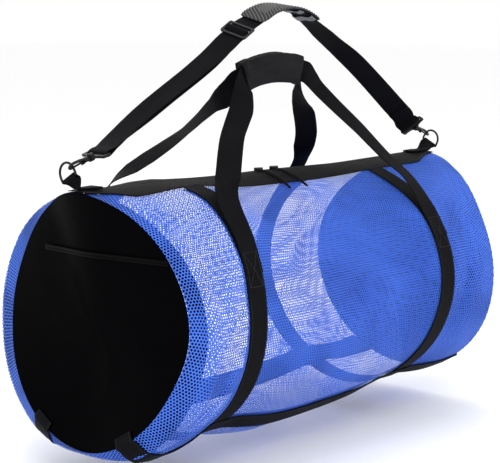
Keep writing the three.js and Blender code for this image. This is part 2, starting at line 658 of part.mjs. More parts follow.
// The strap's way between the two bars, in the plane y = 0.
// along is a share of halfLength, up a share of bagRadius, and turn raises the near edge, in degrees.
const strapRoute = [
  { along: -0.685, up: 1.615, turn: -22 },
  { along: -0.375, up: 1.94, turn: -24 },
  { along: -0.19, up: 2.185, turn: -20 },
  { along: -0.09, up: 2.275, turn: -16 },
  { along: 0.00, up: 2.345, turn: -12 },
  { along: 0.09, up: 2.367, turn: -8 },
  { along: 0.18, up: 2.34, turn: -4 },
  { along: 0.27, up: 2.26, turn: 0 },
  { along: 0.40, up: 2.11, turn: 14 },
  { along: 0.60, up: 1.885, turn: 30 },
];
const bars = {};
for (const [name, end] of Object.entries(ends)) {
  const { at, pivot, nose, axis } = hookPlace(end);
  const turned = new THREE.Matrix4().makeBasis(pivot, nose, axis).setPosition(at);
  const hook = add(`hook_${name}`, hookBody(), mesh.metal());
  hook.applyMatrix4(turned);
  const gate = add(`gate_${name}`, gateBody(), mesh.metal());
  gate.applyMatrix4(turned);
  const b = radians(end.barTurn);
  const level = V(axis.z * end.side, 0, -axis.x * end.side).multiplyScalar(-Math.sign(-axis.x * end.side));
  const barWay = V(0, -Math.cos(b), 0).addScaledVector(level, -Math.sin(b));
  const thin = axis.clone().cross(barWay);
  const frame = add(`hook_frame_${name}`, frameBody(), mesh.plastic());
  frame.applyMatrix4(new THREE.Matrix4().makeBasis(thin.negate(), barWay, axis).setPosition(at));
  bars[name] = { centre: at.clone().addScaledVector(axis, barUp), way: barWay };
}

// The strap's middle line: points, unit ways, and the unit width towards the near side
const barSeat = Math.hypot(barHigh, frameThick) / 2 + clearance + webThick / 2;
const routePoints = [
  bars.left.centre,
  ...strapRoute.map((row) => V(row.along * halfLength, 0, row.up * bagRadius)),
  bars.right.centre,
];
const routeCurve = new THREE.CatmullRomCurve3(routePoints, false, 'centripetal');
routeCurve.arcLengthDivisions = 800;
const routeLong = routeCurve.getLength();
const knotShares = routePoints.map((_, i) => {
  const lengths = routeCurve.getLengths(800);
  return lengths[Math.round((i / (routePoints.length - 1)) * 800)] / routeLong;
});
const knotTurns = [-ends.left.barTurn, ...strapRoute.map((row) => row.turn), ends.right.barTurn];

function strapFrame(distance) {
  const share = THREE.MathUtils.clamp(distance / routeLong, 0, 1);
  const point = routeCurve.getPointAt(share);
  const way = routeCurve.getTangentAt(share);
  let i = 0;
  while (i < knotShares.length - 2 && share > knotShares[i + 1]) i += 1;
  const f = (share - knotShares[i]) / (knotShares[i + 1] - knotShares[i]);
  const eased = f * f * (3 - 2 * f);
  const turn = radians(knotTurns[i] + (knotTurns[i + 1] - knotTurns[i]) * eased);
  const flatNormal = V(-way.z, 0, way.x);
  const wide = V(0, -Math.cos(turn), 0).addScaledVector(flatNormal, Math.sin(turn)).normalize();
  const width = wide.addScaledVector(way, -wide.dot(way)).normalize();
  return { point, way, width, normal: width.clone().cross(way) };
}
function onStrap(distance, height, across = 0) {
  const { point, normal, width } = strapFrame(distance);
  return point.clone().addScaledVector(normal, height).addScaledVector(width, across);
}

const nearestShare = (along) => {
  let best = 0;
  for (let d = 0; d < routeLong; d += 1) {
    const gap = Math.abs(routeCurve.getPointAt(d / routeLong).x - along);
    if (gap < Math.abs(routeCurve.getPointAt(best / routeLong).x - along)) best = d;
  }
  return best;
};
const triAt = nearestShare(strapRoute[2].along * halfLength);
const apexAt = nearestShare(strapRoute[5].along * halfLength);
const padFrom = apexAt - padLong / 2;
const padTo = padFrom + padLong;

// Heights of the layers at the slider
const under = -(clearance + webThick / 2);
const second = under - webThick - clearance;
const wrapTop = triThick + clearance + webThick / 2;
const overTop = wrapTop + webThick + clearance;
const wrapSide = triBar / 2 + clearance + webThick / 2;
const slotEnd = triLong / 2 - triEdge;
const layer = (webThick + clearance) / 2;

// One long webbing: sewn round the slider's middle bar, down to the left hook, back up through
// the slider, under the pad and round the right hook
const strapPath = [];
const lay = (distance, height) => {
  const frame = strapFrame(distance);
  strapPath.push({ point: frame.point.clone().addScaledVector(frame.normal, height), width: frame.width });
};
const tri = strapFrame(triAt);
const layTri = (along, height) => strapPath.push({
  point: tri.point.clone().addScaledVector(tri.way, along).addScaledVector(tri.normal, height),
  width: tri.width,
});
layTri(wrapSide - 0.2, second - 0.4);
layTri(wrapSide, 0);
layTri(wrapSide * 0.9, wrapTop * 0.82);
layTri(wrapSide * 0.35, wrapTop);
layTri(-wrapSide * 0.35, wrapTop);
layTri(-wrapSide * 0.9, wrapTop * 0.82);
layTri(-wrapSide, 0);
layTri(-wrapSide - 2.2, second * 0.8);
layTri(-slotEnd + 1, second);
layTri(-triLong / 2 - 3, second);
// Near a bar the webbing keeps to the bar's own way across.
function barFrame(bar, distance, leg) {
  const lead = strapFrame(distance).way.clone().multiplyScalar(leg);
  lead.addScaledVector(bar.way, -lead.dot(bar.way)).normalize();
  return { lead, normal: bar.way.clone().cross(lead).multiplyScalar(leg) };
}
function layBar(bar, frame, away, height) {
  const point = bar.centre.clone().addScaledVector(frame.lead, away).addScaledVector(frame.normal, height);
  strapPath.push({ point, width: bar.way });
}
function roundBar(bar, distance, leg) {
  const frame = barFrame(bar, distance, leg);
  layBar(bar, frame, 16, -leg * layer * 1.5);
  layBar(bar, frame, 5, -leg * barSeat * 0.98);
  for (let a = -90; a <= 90; a += 30) {
    layBar(bar, frame, -barSeat * Math.cos(radians(a)), leg * barSeat * Math.sin(radians(a)));
  }
  layBar(bar, frame, 5, leg * barSeat * 0.98);
  layBar(bar, frame, 16, leg * layer * 1.5);
}
const nearBar = 30;
for (const d of spread([triAt - 34, nearBar], 26)) lay(d, -layer);
roundBar(bars.left, 0, 1);
for (const d of spread([nearBar, triAt - 34], 26)) lay(d, layer);
layTri(-triLong / 2 - 3, under);
layTri(-slotEnd + 1.4, under);
layTri(-wrapSide - 2.1, wrapTop);
layTri(-wrapSide * 0.8, overTop);
layTri(wrapSide * 0.8, overTop);
layTri(wrapSide + 2.1, wrapTop);
layTri(slotEnd - 1.4, under);
layTri(triLong / 2 + 3, under);
for (const d of spread([padFrom - 2, padTo + 2], 9)) lay(d, 0);
for (const d of spread([padTo + 20, routeLong - tailLong - 34], 24)) lay(d, 0);
for (const d of spread([routeLong - tailLong - 10, routeLong - nearBar], 20)) lay(d, layer);
roundBar(bars.right, routeLong, -1);
for (const d of spread([routeLong - nearBar, routeLong - tailLong - 10], 20)) lay(d, -layer);
const strapPoints = strapPath.map((step) => step.point);
const strapWidths = strapPath.map((step) => step.width);
add('shoulder_strap', sweep(strapPoints, flat(webWidth, webThick), strapWidths), mesh.webbing());

// The slider: a frame with a middle bar and two slots
const triOutline = new THREE.Shape();
const triHalf = webWidth / 2 + clearance * 2;
const triWide = triHalf + triEdge;
triOutline.moveTo(-triWide + 3, -triLong / 2);
triOutline.lineTo(triWide - 3, -triLong / 2);
triOutline.quadraticCurveTo(triWide, -triLong / 2, triWide, -triLong / 2 + 3);
triOutline.lineTo(triWide, triLong / 2 - 3);
triOutline.quadraticCurveTo(triWide, triLong / 2, triWide - 3, triLong / 2);
triOutline.lineTo(-triWide + 3, triLong / 2);
triOutline.quadraticCurveTo(-triWide, triLong / 2, -triWide, triLong / 2 - 3);
triOutline.lineTo(-triWide, -triLong / 2 + 3);
for (const side of [-1, 1]) {
  const window = new THREE.Path();
  window.moveTo(-triHalf, side * triBar / 2);
  window.lineTo(triHalf, side * triBar / 2);
  window.lineTo(triHalf, side * slotEnd);
  window.lineTo(-triHalf, side * slotEnd);
  triOutline.holes.push(window);
}
const triBody = new THREE.ExtrudeGeometry(triOutline, { depth: triThick, bevelEnabled: false, curveSegments: 4 });
const triNode = add('strap_slider', triBody, mesh.plastic());
const triTurned = new THREE.Matrix4().makeBasis(tri.width, tri.way, tri.width.clone().cross(tri.way));
triNode.applyMatrix4(triTurned.setPosition(tri.point));

// Shoulder pad: ribbed on top, with a smooth raised patch, and webbing keepers beneath
const padLow = webThick / 2 + clearance;
const ribs = Math.round(padLong / ribPitch);
const padPath = [];
const padHeights = [];
for (let i = 0; i <= ribs * 2; i += 1) {
  const d = padFrom + (padLong * i) / (ribs * 2);
  const onPatch = d > padFrom + 26 && d < padFrom + 26 + patchLong;
  padPath.push(d);
  padHeights.push(padLow + padThick + (onPatch || i % 2 ? ribRise : 0));
}
const padRings = padPath.map((d, i) => {
  const fromEnd = Math.min(d - padFrom, padTo - d);
  const wide = (padWide / 2) * Math.min(1, 0.8 + 0.2 * Math.sqrt(fromEnd / 12));
  const edge = padLow + (padHeights[i] - padLow) * 0.55;
  return [
    onStrap(d, edge, -wide),
    onStrap(d, padHeights[i], -wide * 0.88),
    onStrap(d, padHeights[i], wide * 0.88),
    onStrap(d, edge, wide),
    onStrap(d, padLow + 1, wide),
    onStrap(d, padLow, wide * 0.9),
    onStrap(d, padLow, -wide * 0.9),
    onStrap(d, padLow + 1, -wide),
  ];
});
add('shoulder_pad', loft(padRings), mesh.rubber());
const keeperOut = half + 2 * clearance + keeperThick / 2;
const keeperLow = -(webThick / 2 + 2 * clearance + keeperThick / 2);
for (const [name, share] of Object.entries(keeperPlaces)) {
  const d = apexAt + share * padLong;
  const top = padLow - 2 * clearance;
  const shape = [[top, -keeperOut], [keeperLow * 0.5, -keeperOut], [keeperLow, -keeperOut + 1.5], [keeperLow, 0]];
  shape.push([keeperLow, keeperOut - 1.5], [keeperLow * 0.5, keeperOut], [top, keeperOut]);
  const frame = strapFrame(d);
  const points = shape.map(([height, across]) => onStrap(d, height, across));
  add(name, sweep(points, flat(keeperWide, keeperThick), points.map(() => frame.way)), mesh.grey());
}

// Grip: both handles pass through it on edge, one behind the other
const gripMiddle = { along: 0.03, up: 1.875 };
const gripDrop = 0.06;        // of its two ends, as a share of bagRadius
const gripLean = 0.02;        // the far end lies higher by twice this share
function gripFrame(share) {
  const x = gripMiddle.along * halfLength + (share * gripLong) / 2;
  const z = (gripMiddle.up + gripLean * share - gripDrop * share * share) * bagRadius;
  const way = V(gripLong / 2, 0, (gripLean - 2 * gripDrop * share) * bagRadius).normalize();
  return { point: V(x, 0, z), way, normal: V(-way.z, 0, way.x) };
}
const windings = spread([-20, 400], 22);
const wrapRings = spread([-1, 1], 0.25).map((share) => {
  const { point, normal } = gripFrame(share);
  const spot = (angle, inner) => {
    const over = THREE.MathUtils.smoothstep(angle, 290, 340) * (gripPadding + clearance);
    const c = Math.cos(radians(angle));
    const n = Math.sin(radians(angle));
    const [wide, tall] = inner ? [0.3, 0.3] : [0.6, 0.45];
    const y = Math.sign(c) * Math.abs(c) ** wide * (gripDeep / 2 - (inner ? gripPadding : 0) + over);
    const z = Math.sign(n) * Math.abs(n) ** tall * (gripTall / 2 - (inner ? gripWall : 0) + over);
    return point.clone().addScaledVector(normal, z).add(V(0, y, 0));
  };
  return [...windings.map((a) => spot(a, false)), ...windings.map((a) => spot(a, true)).reverse()];
});
add('grip_wrap', loft(wrapRings), mesh.webbing());

// Handles: sewn over a hoop, up to the grip, and down to the other hoop.
// along is a share of halfLength, across and up are shares of bagRadius,
// and turn is how far the webbing stands on edge, in degrees.
const handleRoutes = {
  handle_near: {
    side: -1,
    left: [
      { along: -0.605, across: 0.62, up: 0.99, turn: 0 },
      { along: -0.53, across: 0.51, up: 1.15, turn: 0 },
      { along: -0.425, across: 0.36, up: 1.36, turn: 0 },
      { along: -0.29, across: 0.215, up: 1.55, turn: 20 },
      { along: -0.215, across: 0.11, up: 1.66, turn: 55 },
    ],
    right: [
      { along: 0.285, across: 0.085, up: 1.69, turn: 68 },
      { along: 0.33, across: 0.215, up: 1.53, turn: 56 },
      { along: 0.395, across: 0.38, up: 1.33, turn: 48 },
      { along: 0.455, across: 0.53, up: 1.13, turn: 42 },
      { along: 0.53, across: 0.66, up: 0.95, turn: 30 },
    ],
  },
  handle_far: {
    side: 1,
    left: [
      { along: -0.59, across: 0.64, up: 0.98, turn: 10 },
      { along: -0.45, across: 0.52, up: 1.15, turn: 16 },
      { along: -0.31, across: 0.37, up: 1.355, turn: 10 },
      { along: -0.23, across: 0.20, up: 1.57, turn: 30 },
      { along: -0.195, across: 0.10, up: 1.67, turn: 60 },
    ],
    right: [
      { along: 0.285, across: 0.10, up: 1.69, turn: 60 },
      { along: 0.345, across: 0.20, up: 1.58, turn: 35 },
      { along: 0.43, across: 0.30, up: 1.44, turn: 0 },
      { along: 0.54, across: 0.45, up: 1.22, turn: 0 },
      { along: 0.61, across: 0.62, up: 0.98, turn: 0 },
    ],
  },
};
const lapFrom = 46;           // degrees from the top: the handle leaves its hoop here
const lapTo = 76;
const lapLift = 2 * clearance + 1.5 * webThick;
for (const [name, { side, left, right }] of Object.entries(handleRoutes)) {
  const lap = halfAround.filter(inside(lapFrom, lapTo)).map((turn) => (side < 0 ? 360 - turn : turn));
  const onHoop = (place) => lap.map((turn, i) => {
    const lift = lapLift + (i ? 0 : webThick);
    return { point: skin(place, turn, lift), turn: 0 };
  });
  const free = (row) => ({
    point: V(row.along * halfLength, side * row.across * bagRadius, row.up * bagRadius),
    turn: row.turn,
  });
  const beside = (webThick + clearance) / 2;
  const held = [-1.12, -1.01, -0.7, -0.35, 0, 0.35, 0.7, 1.01, 1.12].map((share) => ({
    point: gripFrame(share).point.add(V(0, side * (Math.abs(share) > 1.05 ? gripDeep / 2 : beside), 0)),
    turn: 90,
  }));
  const stops = [...left.map(free), ...held, ...right.map(free)];
  const curve = new THREE.CatmullRomCurve3(stops.map((stop) => stop.point), false, 'centripetal');
  const path = onHoop(hoopPlaces.hoop_left).reverse();
  const last = stops.length - 1;
  for (let i = 0; i <= last; i += 1) {
    path.push({ point: stops[i].point, turn: stops[i].turn });
    const steps = stops[i].turn === 90 && stops[Math.min(i + 1, last)].turn === 90 ? 1 : 2;
    for (let k = 1; k < steps && i < last; k += 1) {
      const f = k / steps;
      path.push({
        point: curve.getPoint((i + f) / last),
        turn: stops[i].turn + (stops[i + 1].turn - stops[i].turn) * f,
      });
    }
  }
  path.push(...onHoop(hoopPlaces.hoop_right));
  const points = path.map((stop) => stop.point);
  const widths = points.map((point, i) => {
    const way = points[Math.min(i + 1, points.length - 1)].clone().sub(points[Math.max(i - 1, 0)]).normalize();
    const level = V(way.y, -way.x, 0).normalize();
    const steep = V(way.z, 0, -way.x).normalize();
    const t = radians(path[i].turn);
    return level.multiplyScalar(Math.cos(t)).addScaledVector(steep, Math.sin(t));
  });
  const lapCount = lap.length;
  for (let i = 0; i < lapCount; i += 1) {
    widths[i] = V(-side, 0, 0);
    widths[widths.length - 1 - i] = V(side, 0, 0);
  }
  add(name, sweep(points, flat(webWidth, webThick), widths), mesh.webbing());
}

// The origin is under the pad, where a shoulder or a hook carries it.
const rest = onStrap(apexAt, -(webThick / 2));
for (const node of bag.children) node.position.sub(rest);

export default bag;
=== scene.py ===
# %% [markdown]
# # A mesh dive gear bag, dressed
# The solids of this bag come from the CAD model and stay where they are. This lesson gives them their
# looks: open knitted mesh, black coated cloth, woven webbing, stitches, a ribbed pad, a zip and spring
# hooks. Each new piece is laid on the same surface or along the same route as its solid.

# %% Load the frame
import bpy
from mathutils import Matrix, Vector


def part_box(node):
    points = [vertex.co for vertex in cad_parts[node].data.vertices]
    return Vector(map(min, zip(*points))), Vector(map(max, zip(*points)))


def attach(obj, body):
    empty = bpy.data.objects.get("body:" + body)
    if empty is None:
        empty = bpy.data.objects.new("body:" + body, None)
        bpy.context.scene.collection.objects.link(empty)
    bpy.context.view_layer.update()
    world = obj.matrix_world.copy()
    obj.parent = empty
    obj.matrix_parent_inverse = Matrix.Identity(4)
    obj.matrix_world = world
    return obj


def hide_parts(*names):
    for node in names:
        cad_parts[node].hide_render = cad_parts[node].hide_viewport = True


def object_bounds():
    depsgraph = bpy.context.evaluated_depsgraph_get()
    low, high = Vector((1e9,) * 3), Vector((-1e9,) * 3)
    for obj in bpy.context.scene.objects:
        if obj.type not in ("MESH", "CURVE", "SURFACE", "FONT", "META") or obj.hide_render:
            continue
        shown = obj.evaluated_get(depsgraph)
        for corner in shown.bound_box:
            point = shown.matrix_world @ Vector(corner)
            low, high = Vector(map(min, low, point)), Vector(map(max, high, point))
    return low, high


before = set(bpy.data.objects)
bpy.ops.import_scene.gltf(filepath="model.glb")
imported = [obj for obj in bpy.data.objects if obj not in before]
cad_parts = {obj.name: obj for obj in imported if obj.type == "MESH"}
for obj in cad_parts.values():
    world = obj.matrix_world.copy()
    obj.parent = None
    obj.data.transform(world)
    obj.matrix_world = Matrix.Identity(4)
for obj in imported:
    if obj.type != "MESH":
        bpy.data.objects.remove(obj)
cad_box = [list(corner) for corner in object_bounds()]
print("the CAD box is", [round(b - a, 3) for a, b in zip(*cad_box)], "metres")

# %% [markdown]
# Every later step needs a few helpers. Operators act on whatever is selected, so one helper selects a
# single object, and another applies its modifiers in order and puts it on the body that carries it.

# %% Helpers for operators
import itertools
import math
import bmesh
import bpy
import numpy as np
from mathutils import Matrix, Vector, noise

MM = 0.001
BODY = "bag"


def only(piece):
    bpy.ops.object.select_all(action="DESELECT")
    piece.select_set(True)
    bpy.context.view_layer.objects.active = piece
    return piece


def modify(piece, kind, **values):
    modifier = only(piece).modifiers.new(kind.lower(), kind)
    for name, value in values.items():
        setattr(modifier, name, value)
    bpy.ops.object.modifier_apply(modifier=modifier.name)
    return piece


def dress(piece, material, *nodes, body=BODY, smooth=40):
    piece.data.materials.clear()
    piece.data.materials.append(material)
    only(piece)
    bpy.ops.object.shade_smooth_by_angle(angle=math.radians(smooth))
    if nodes:
        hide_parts(*nodes)
    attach(piece, body)
    print(piece.name, len(piece.data.polygons), "faces")
    return piece


# %% [markdown]
# The photograph was taken from the near end, a little above the middle. Its camera was worked out from
# the two rims and the hoops, so the lens and the place below give the same view of the same bag.

# %% Camera
CAMERA_AT = Vector((-1.9188, -1.5994, 0.0052))
CAMERA_BACK = Vector((-0.7470, -0.6487, 0.1457))
LENS = 110.6
bpy.ops.object.camera_add(location=CAMERA_AT)
camera = bpy.context.object
camera.rotation_mode = "QUATERNION"
camera.rotation_quaternion = (-CAMERA_BACK).to_track_quat("-Z", "Y")
camera.data.lens = LENS
camera.data.sensor_width = 36
camera.data.clip_end = 50
bpy.context.scene.camera = camera
print("camera", [round(v, 3) for v in camera.location])

# %% [markdown]
# The bag hangs by its strap just clear of a plain pale floor. A photographer's white room is a bright
# world, which fills every shadow, and a few large lamps give the form a soft lit side. Large lamps are
# used because a small one would draw hard shadows through the mesh.

# %% Floor and light
FLOOR_GAP = 0.02
floor_height = cad_box[0][2] - FLOOR_GAP
bpy.ops.mesh.primitive_plane_add(size=40, location=(0, 0, floor_height))
floor = bpy.context.object
floor.name = "floor"
pale = bpy.data.materials.new("pale floor")
pale.use_nodes = True
pale.node_tree.nodes["Principled BSDF"].inputs["Base Color"].default_value = (0.98, 0.98, 0.98, 1)
pale.node_tree.nodes["Principled BSDF"].inputs["Roughness"].default_value = 0.9
floor.data.materials.append(pale)


def lamp(name, place, power, size):
    target = Vector((0, 0, -0.4))
    bpy.ops.object.light_add(type="AREA", location=place)
    light = bpy.context.object
    light.name = name
    light.data.energy = power
    light.data.size = size
    light.rotation_mode = "QUATERNION"
    light.rotation_quaternion = (target - Vector(place)).to_track_quat("-Z", "Y")
    return light


lamp("key", (-2.4, -2.4, 2.0), 46, 1.6)
lamp("fill", (2.6, -2.4, 1.0), 16, 2.4)
lamp("top", (0.0, 0.4, 2.8), 30, 2.4)
lamp("back", (1.0, 3.0, 1.2), 16, 2.4)
world = bpy.data.worlds.new("studio")
bpy.context.scene.world = world
world.use_nodes = True
world.node_tree.nodes["Background"].inputs["Color"].default_value = (1, 1, 1, 1)
world.node_tree.nodes["Background"].inputs["Strength"].default_value = 1.0
bpy.context.scene.view_settings.view_transform = "Standard"
print("floor at", round(floor_height, 3))

# %% [markdown]
# The barrel is cloth drawn over nothing: webbing hoops hold it at two places, and gravity and the
# seams shape the rest. Its radius is a short table, read smoothly along the bag and round it, the same
# table from which the CAD solid was made. With a formula for the surface, any piece that lies on it
# can be laid at its own height above it.

# %% The cloth's surface
HALF = 381.0
RADIUS = 190.5
HOOPS = {"hoop_left": -235.0, "hoop_right": 225.0}
WEB = 38.0
WEB_THICK = 1.6
GAP = 0.35
# place, then radius at 0, 30, 60, 90, 120, 150 and 180 degrees from the top, as shares
SECTIONS = np.array([
    (-1.00, 1.02, 0.975, 0.95, 0.97, 0.95, 0.955, 0.98),
    (-0.97, 1.02, 1.02, 1.08, 1.13, 1.12, 1.09, 1.04),
    (-0.88, 1.01, 1.00, 1.04, 1.10, 1.12, 1.11, 1.06),
    (-0.617, 1.01, 1.05, 1.00, 0.965, 0.975, 1.00, 1.05),
    (-0.30, 1.00, 0.93, 0.93, 0.98, 1.02, 1.08, 1.16),
    (0.00, 1.00, 0.90, 0.91, 0.97, 1.03, 1.09, 1.15),
    (0.30, 0.99, 0.91, 0.94, 1.00, 1.03, 1.07, 1.10),
    (0.59, 0.98, 0.975, 1.04, 1.06, 1.03, 1.01, 1.02),
    (0.85, 0.99, 0.98, 1.02, 1.06, 1.06, 1.05, 1.05),
    (1.00, 1.00, 0.99, 1.005, 1.03, 1.04, 1.045, 1.05),
])
NEAR_BOW = np.array([[0.19, 0.06, -0.01, 0.00, 0.10, 0.17, 0.175]])
FAR_BOW = np.array([[0.34, 0.18, 0.01, -0.01, 0.035, 0.065, 0.085]])
BOW_START = 0.7
# place, turn, heading, length, width and depth of each crease
CREASES = [
    (-0.965, 95, 90, 1.1, 0.05, -0.06),
    (-0.965, 285, 90, 1.0, 0.05, 0.07),
    (-0.83, 250, 70, 0.55, 0.09, 0.035),
    (-0.76, 285, 60, 0.40, 0.08, -0.025),
    (-0.80, 110, -65, 0.50, 0.09, 0.030),
    (-0.36, 300, 28, 0.60, 0.10, 0.035),
    (-0.12, 318, 22, 0.50, 0.08, -0.025),
    (-0.20, 255, 35, 0.70, 0.12, 0.030),
    (0.20, 290, -25, 0.55, 0.10, 0.030),
    (0.15, 230, 12, 0.70, 0.12, -0.025),
    (-0.25, 60, -30, 0.60, 0.10, 0.035),
    (0.10, 105, 20, 0.70, 0.12, 0.030),
    (0.28, 45, 30, 0.45, 0.09, -0.025),
    (0.78, 275, 75, 0.45, 0.08, 0.025),
    (0.80, 80, -70, 0.50, 0.09, 0.025),
]


def between(before, start, end, after, f):
    rise, fall = (end - before) / 2, (after - start) / 2
    f2, f3 = f * f, f * f * f
    return start * (2 * f3 - 3 * f2 + 1) + rise * (f3 - 2 * f2 + f) + end * (3 * f2 - 2 * f3) + fall * (f3 - f2)


def round_rows(rows, turn):
    folded = np.abs((turn % 360 + 540) % 360 - 180)
    i = np.minimum(np.floor(folded / 30).astype(int), 5)
    after = np.where(i + 2 > 6, 10 - i, i + 2)
    return between(rows[:, np.abs(i - 1)], rows[:, i], rows[:, i + 1], rows[:, after], folded / 30 - i)


def cloth_radius(along, turn):
    share = np.clip(along / HALF, -1, 1)
    i = np.sum(share[None, :] > SECTIONS[1:-1, :1], axis=0)
    rows = round_rows(SECTIONS[:, 1:], turn)
    pick = lambda k: rows[np.clip(k, 0, len(SECTIONS) - 1), np.arange(len(turn))]
    at = SECTIONS[:, 0]
    f = (share - at[i]) / (at[i + 1] - at[i])
    total = between(pick(i - 1), pick(i), pick(i + 1), pick(i + 2), f)
    for place, middle, heading, long, wide, deep in CREASES:
        dx = (along - place * HALF) / RADIUS
        dt = np.radians((turn - middle + 540) % 360 - 180)
        h = math.radians(heading)
        p, q = dx * math.cos(h) + dt * math.sin(h), -dx * math.sin(h) + dt * math.cos(h)
        total -= deep * np.exp(-((q / wide) ** 2) - (p / long) ** 4)
    return RADIUS * total


def on_hoop(along):
    found = np.full(len(along), np.nan)
    for place in HOOPS.values():
        found[np.abs(along - place) <= WEB / 2 + 0.01] = place
    return found


def cloth_point(along, turn):
    x = np.clip(along, -HALF, HALF)
    bow = np.where(x < 0, round_rows(NEAR_BOW, turn)[0], round_rows(FAR_BOW, turn)[0]) * RADIUS
    f = np.clip((np.abs(x) / HALF - BOW_START) / (1 - BOW_START), 0, 1)
    held = on_hoop(along)
    r = cloth_radius(np.where(np.isnan(held), x, held), turn)
    t = np.radians(turn)
    return np.stack([x + np.sign(x) * bow * f * f, r * np.sin(t), r * np.cos(t)], axis=1)


def skin(along, turn, lift):
    along, turn = np.broadcast_arrays(np.asarray(along, float), np.asarray(turn, float))
    around = cloth_point(along, turn + 1) - cloth_point(along, turn - 1)
    length = cloth_point(along + 3, turn) - cloth_point(along - 3, turn)
    length[~np.isnan(on_hoop(along))] = (1, 0, 0)
    out = np.cross(around, length)
    out /= np.linalg.norm(out, axis=1)[:, None]
    point = cloth_point(along, turn)
    out *= np.sign(np.sum(out[:, 1:] * point[:, 1:], axis=1))[:, None]
    return point + out * np.broadcast_to(lift, along.shape)[:, None]


slider_top = skin([-22.0], [0.0], 2.2 + GAP)[0]
REST = np.array([
    HOOPS["hoop_left"] - 500 * (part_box("hoop_left")[0].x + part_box("hoop_left")[1].x),
    -500 * (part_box("zip_coil")[0].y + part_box("zip_coil")[1].y),
    slider_top[2] - 1000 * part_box("zip_slider_left")[0].z,
])
print("the barrel's middle lies", REST.round(2), "mm from the origin")

# %% [markdown]
# Cloth is woven flat and then shaped, so each cloth piece here starts as a flat grid with its size in
# metres kept in its UV map, and its points are then laid on the surface. The knit and the weave read
# that map, so they follow the cloth.

# %% Lay a flat grid on a surface
def grid(name, columns, rows, place, flat):
    """A grid of columns by rows points. place and flat turn the point's two counts into a place and a UV."""
    bpy.ops.object.select_all(action="DESELECT")
    bpy.ops.mesh.primitive_grid_add(x_subdivisions=columns - 1, y_subdivisions=rows - 1, size=1)
    piece = bpy.context.object
    piece.name = name
    piece.data.name = name
    count = len(piece.data.vertices)
    flat_points = np.zeros(count * 3)
    piece.data.vertices.foreach_get("co", flat_points)
    flat_points = flat_points.reshape(-1, 3) + 0.5
    i = np.rint(flat_points[:, 0] * (columns - 1)).astype(int)
    j = np.rint(flat_points[:, 1] * (rows - 1)).astype(int)
    piece.data.vertices.foreach_set("co", (place(i, j) * MM).ravel())
    corners = np.zeros(len(piece.data.loops), int)
    piece.data.loops.foreach_get("vertex_index", corners)
    piece.data.uv_layers[0].data.foreach_set("uv", (flat(i, j) * MM)[corners].ravel())
    piece.data.update()
    return piece


def face_out(piece, centre):
    """Turns the whole sheet over if it faces its centre."""
    face = piece.data.polygons[len(piece.data.polygons) // 2]
    if (face.center - Vector(centre)).dot(face.normal) < 0:
        piece.data.flip_normals()
    return piece


def spaced(stops, step):
    parts = []
    for a, b in zip(stops, stops[1:]):
        count = max(1, round((b - a) / step))
        parts.extend(a + (b - a) * k / count for k in range(count))
    return np.array([*parts, stops[-1]])


def on_bag(name, along, turns, lift, draw=lambda along, turn: turn):
    """A sheet on the barrel, over the given places and turns, in millimetres and degrees."""
    place = lambda i, j: skin(along[i], draw(along[i], turns[j]), lift(along[i], turns[j])) - REST
    lines = skin(np.repeat(along, len(turns)), np.tile(turns, len(along)), 0.0).reshape(len(along), len(turns), 3)
    steps = np.linalg.norm(np.diff(lines, axis=0), axis=2)
    paced = np.concatenate([np.zeros((1, len(turns))), np.cumsum(steps, axis=0)])
    flat = lambda i, j: np.stack([paced[i, j], np.radians(turns[j]) * RADIUS], axis=1)
    return face_out(grid(name, len(along), len(turns), place, flat), tuple(-REST * MM))


MIDDLE = tuple(-REST * MM)
print("the bag's middle is at", [round(v, 3) for v in MIDDLE])

# %% [markdown]
# Materials are made of nodes. A few short helpers add a node and wire it up, so that each material
# below reads as what it does. An effect that several materials share becomes a node group.

# %% Helpers for nodes
def socket(group, name, kind, inward=True, default=None):
    made = group.interface.new_socket(name, in_out="INPUT" if inward else "OUTPUT", socket_type=f"NodeSocket{kind}")
    if default is not None:
        made.default_value = default
    return made


def math_node(tree, operation, *inputs):
    node = tree.nodes.new("ShaderNodeMath")
    node.operation = operation
    wire(tree, node, inputs)
    return node.outputs[0]


def vector_node(tree, operation, *inputs, out=0):
    node = tree.nodes.new("ShaderNodeVectorMath")
    node.operation = operation
    wire(tree, node, inputs)
    return node.outputs[out]


def wire(tree, node, inputs):
    for place, value in zip(node.inputs, inputs):
        if hasattr(value, "links"):
            tree.links.new(value, place)
        else:
            place.default_value = value


def ramp(tree, value, low, high, to_low=0.0, to_high=1.0, smooth=True):
    node = tree.nodes.new("ShaderNodeMapRange")
    node.interpolation_type = "SMOOTHSTEP" if smooth else "LINEAR"
    tree.links.new(value, node.inputs[0])
    for k, setting in enumerate((low, high, to_low, to_high)):
        if hasattr(setting, "links"):
            tree.links.new(setting, node.inputs[k + 1])
        else:
            node.inputs[k + 1].default_value = setting
    return node.outputs[0]


def shader_group(name, inputs, outputs):
    group = bpy.data.node_groups.new(name, "ShaderNodeTree")
    for label, kind, default in inputs:
        socket(group, label, kind, True, default)
    for label, kind in outputs:
        socket(group, label, kind, False)
    return group, group.nodes.new("NodeGroupInput").outputs, group.nodes.new("NodeGroupOutput").inputs


def plain(name, colour, roughness, metallic=0.0, specular=0.1):
    material = bpy.data.materials.new(name)
    material.use_nodes = True
    shader = material.node_tree.nodes["Principled BSDF"]
    shader.inputs["Base Color"].default_value = (*colour, 1)
    shader.inputs["Roughness"].default_value = roughness
    shader.inputs["Metallic"].default_value = metallic
    shader.inputs["Specular IOR Level"].default_value = specular
    return material, material.node_tree, shader


def place_group(tree, group, vector=None, **values):
    node = tree.nodes.new("ShaderNodeGroup")
    node.node_tree = group
    for name, value in values.items():
        node.inputs[name].default_value = value
    if vector is not None:
        tree.links.new(vector, node.inputs[0])
    return node


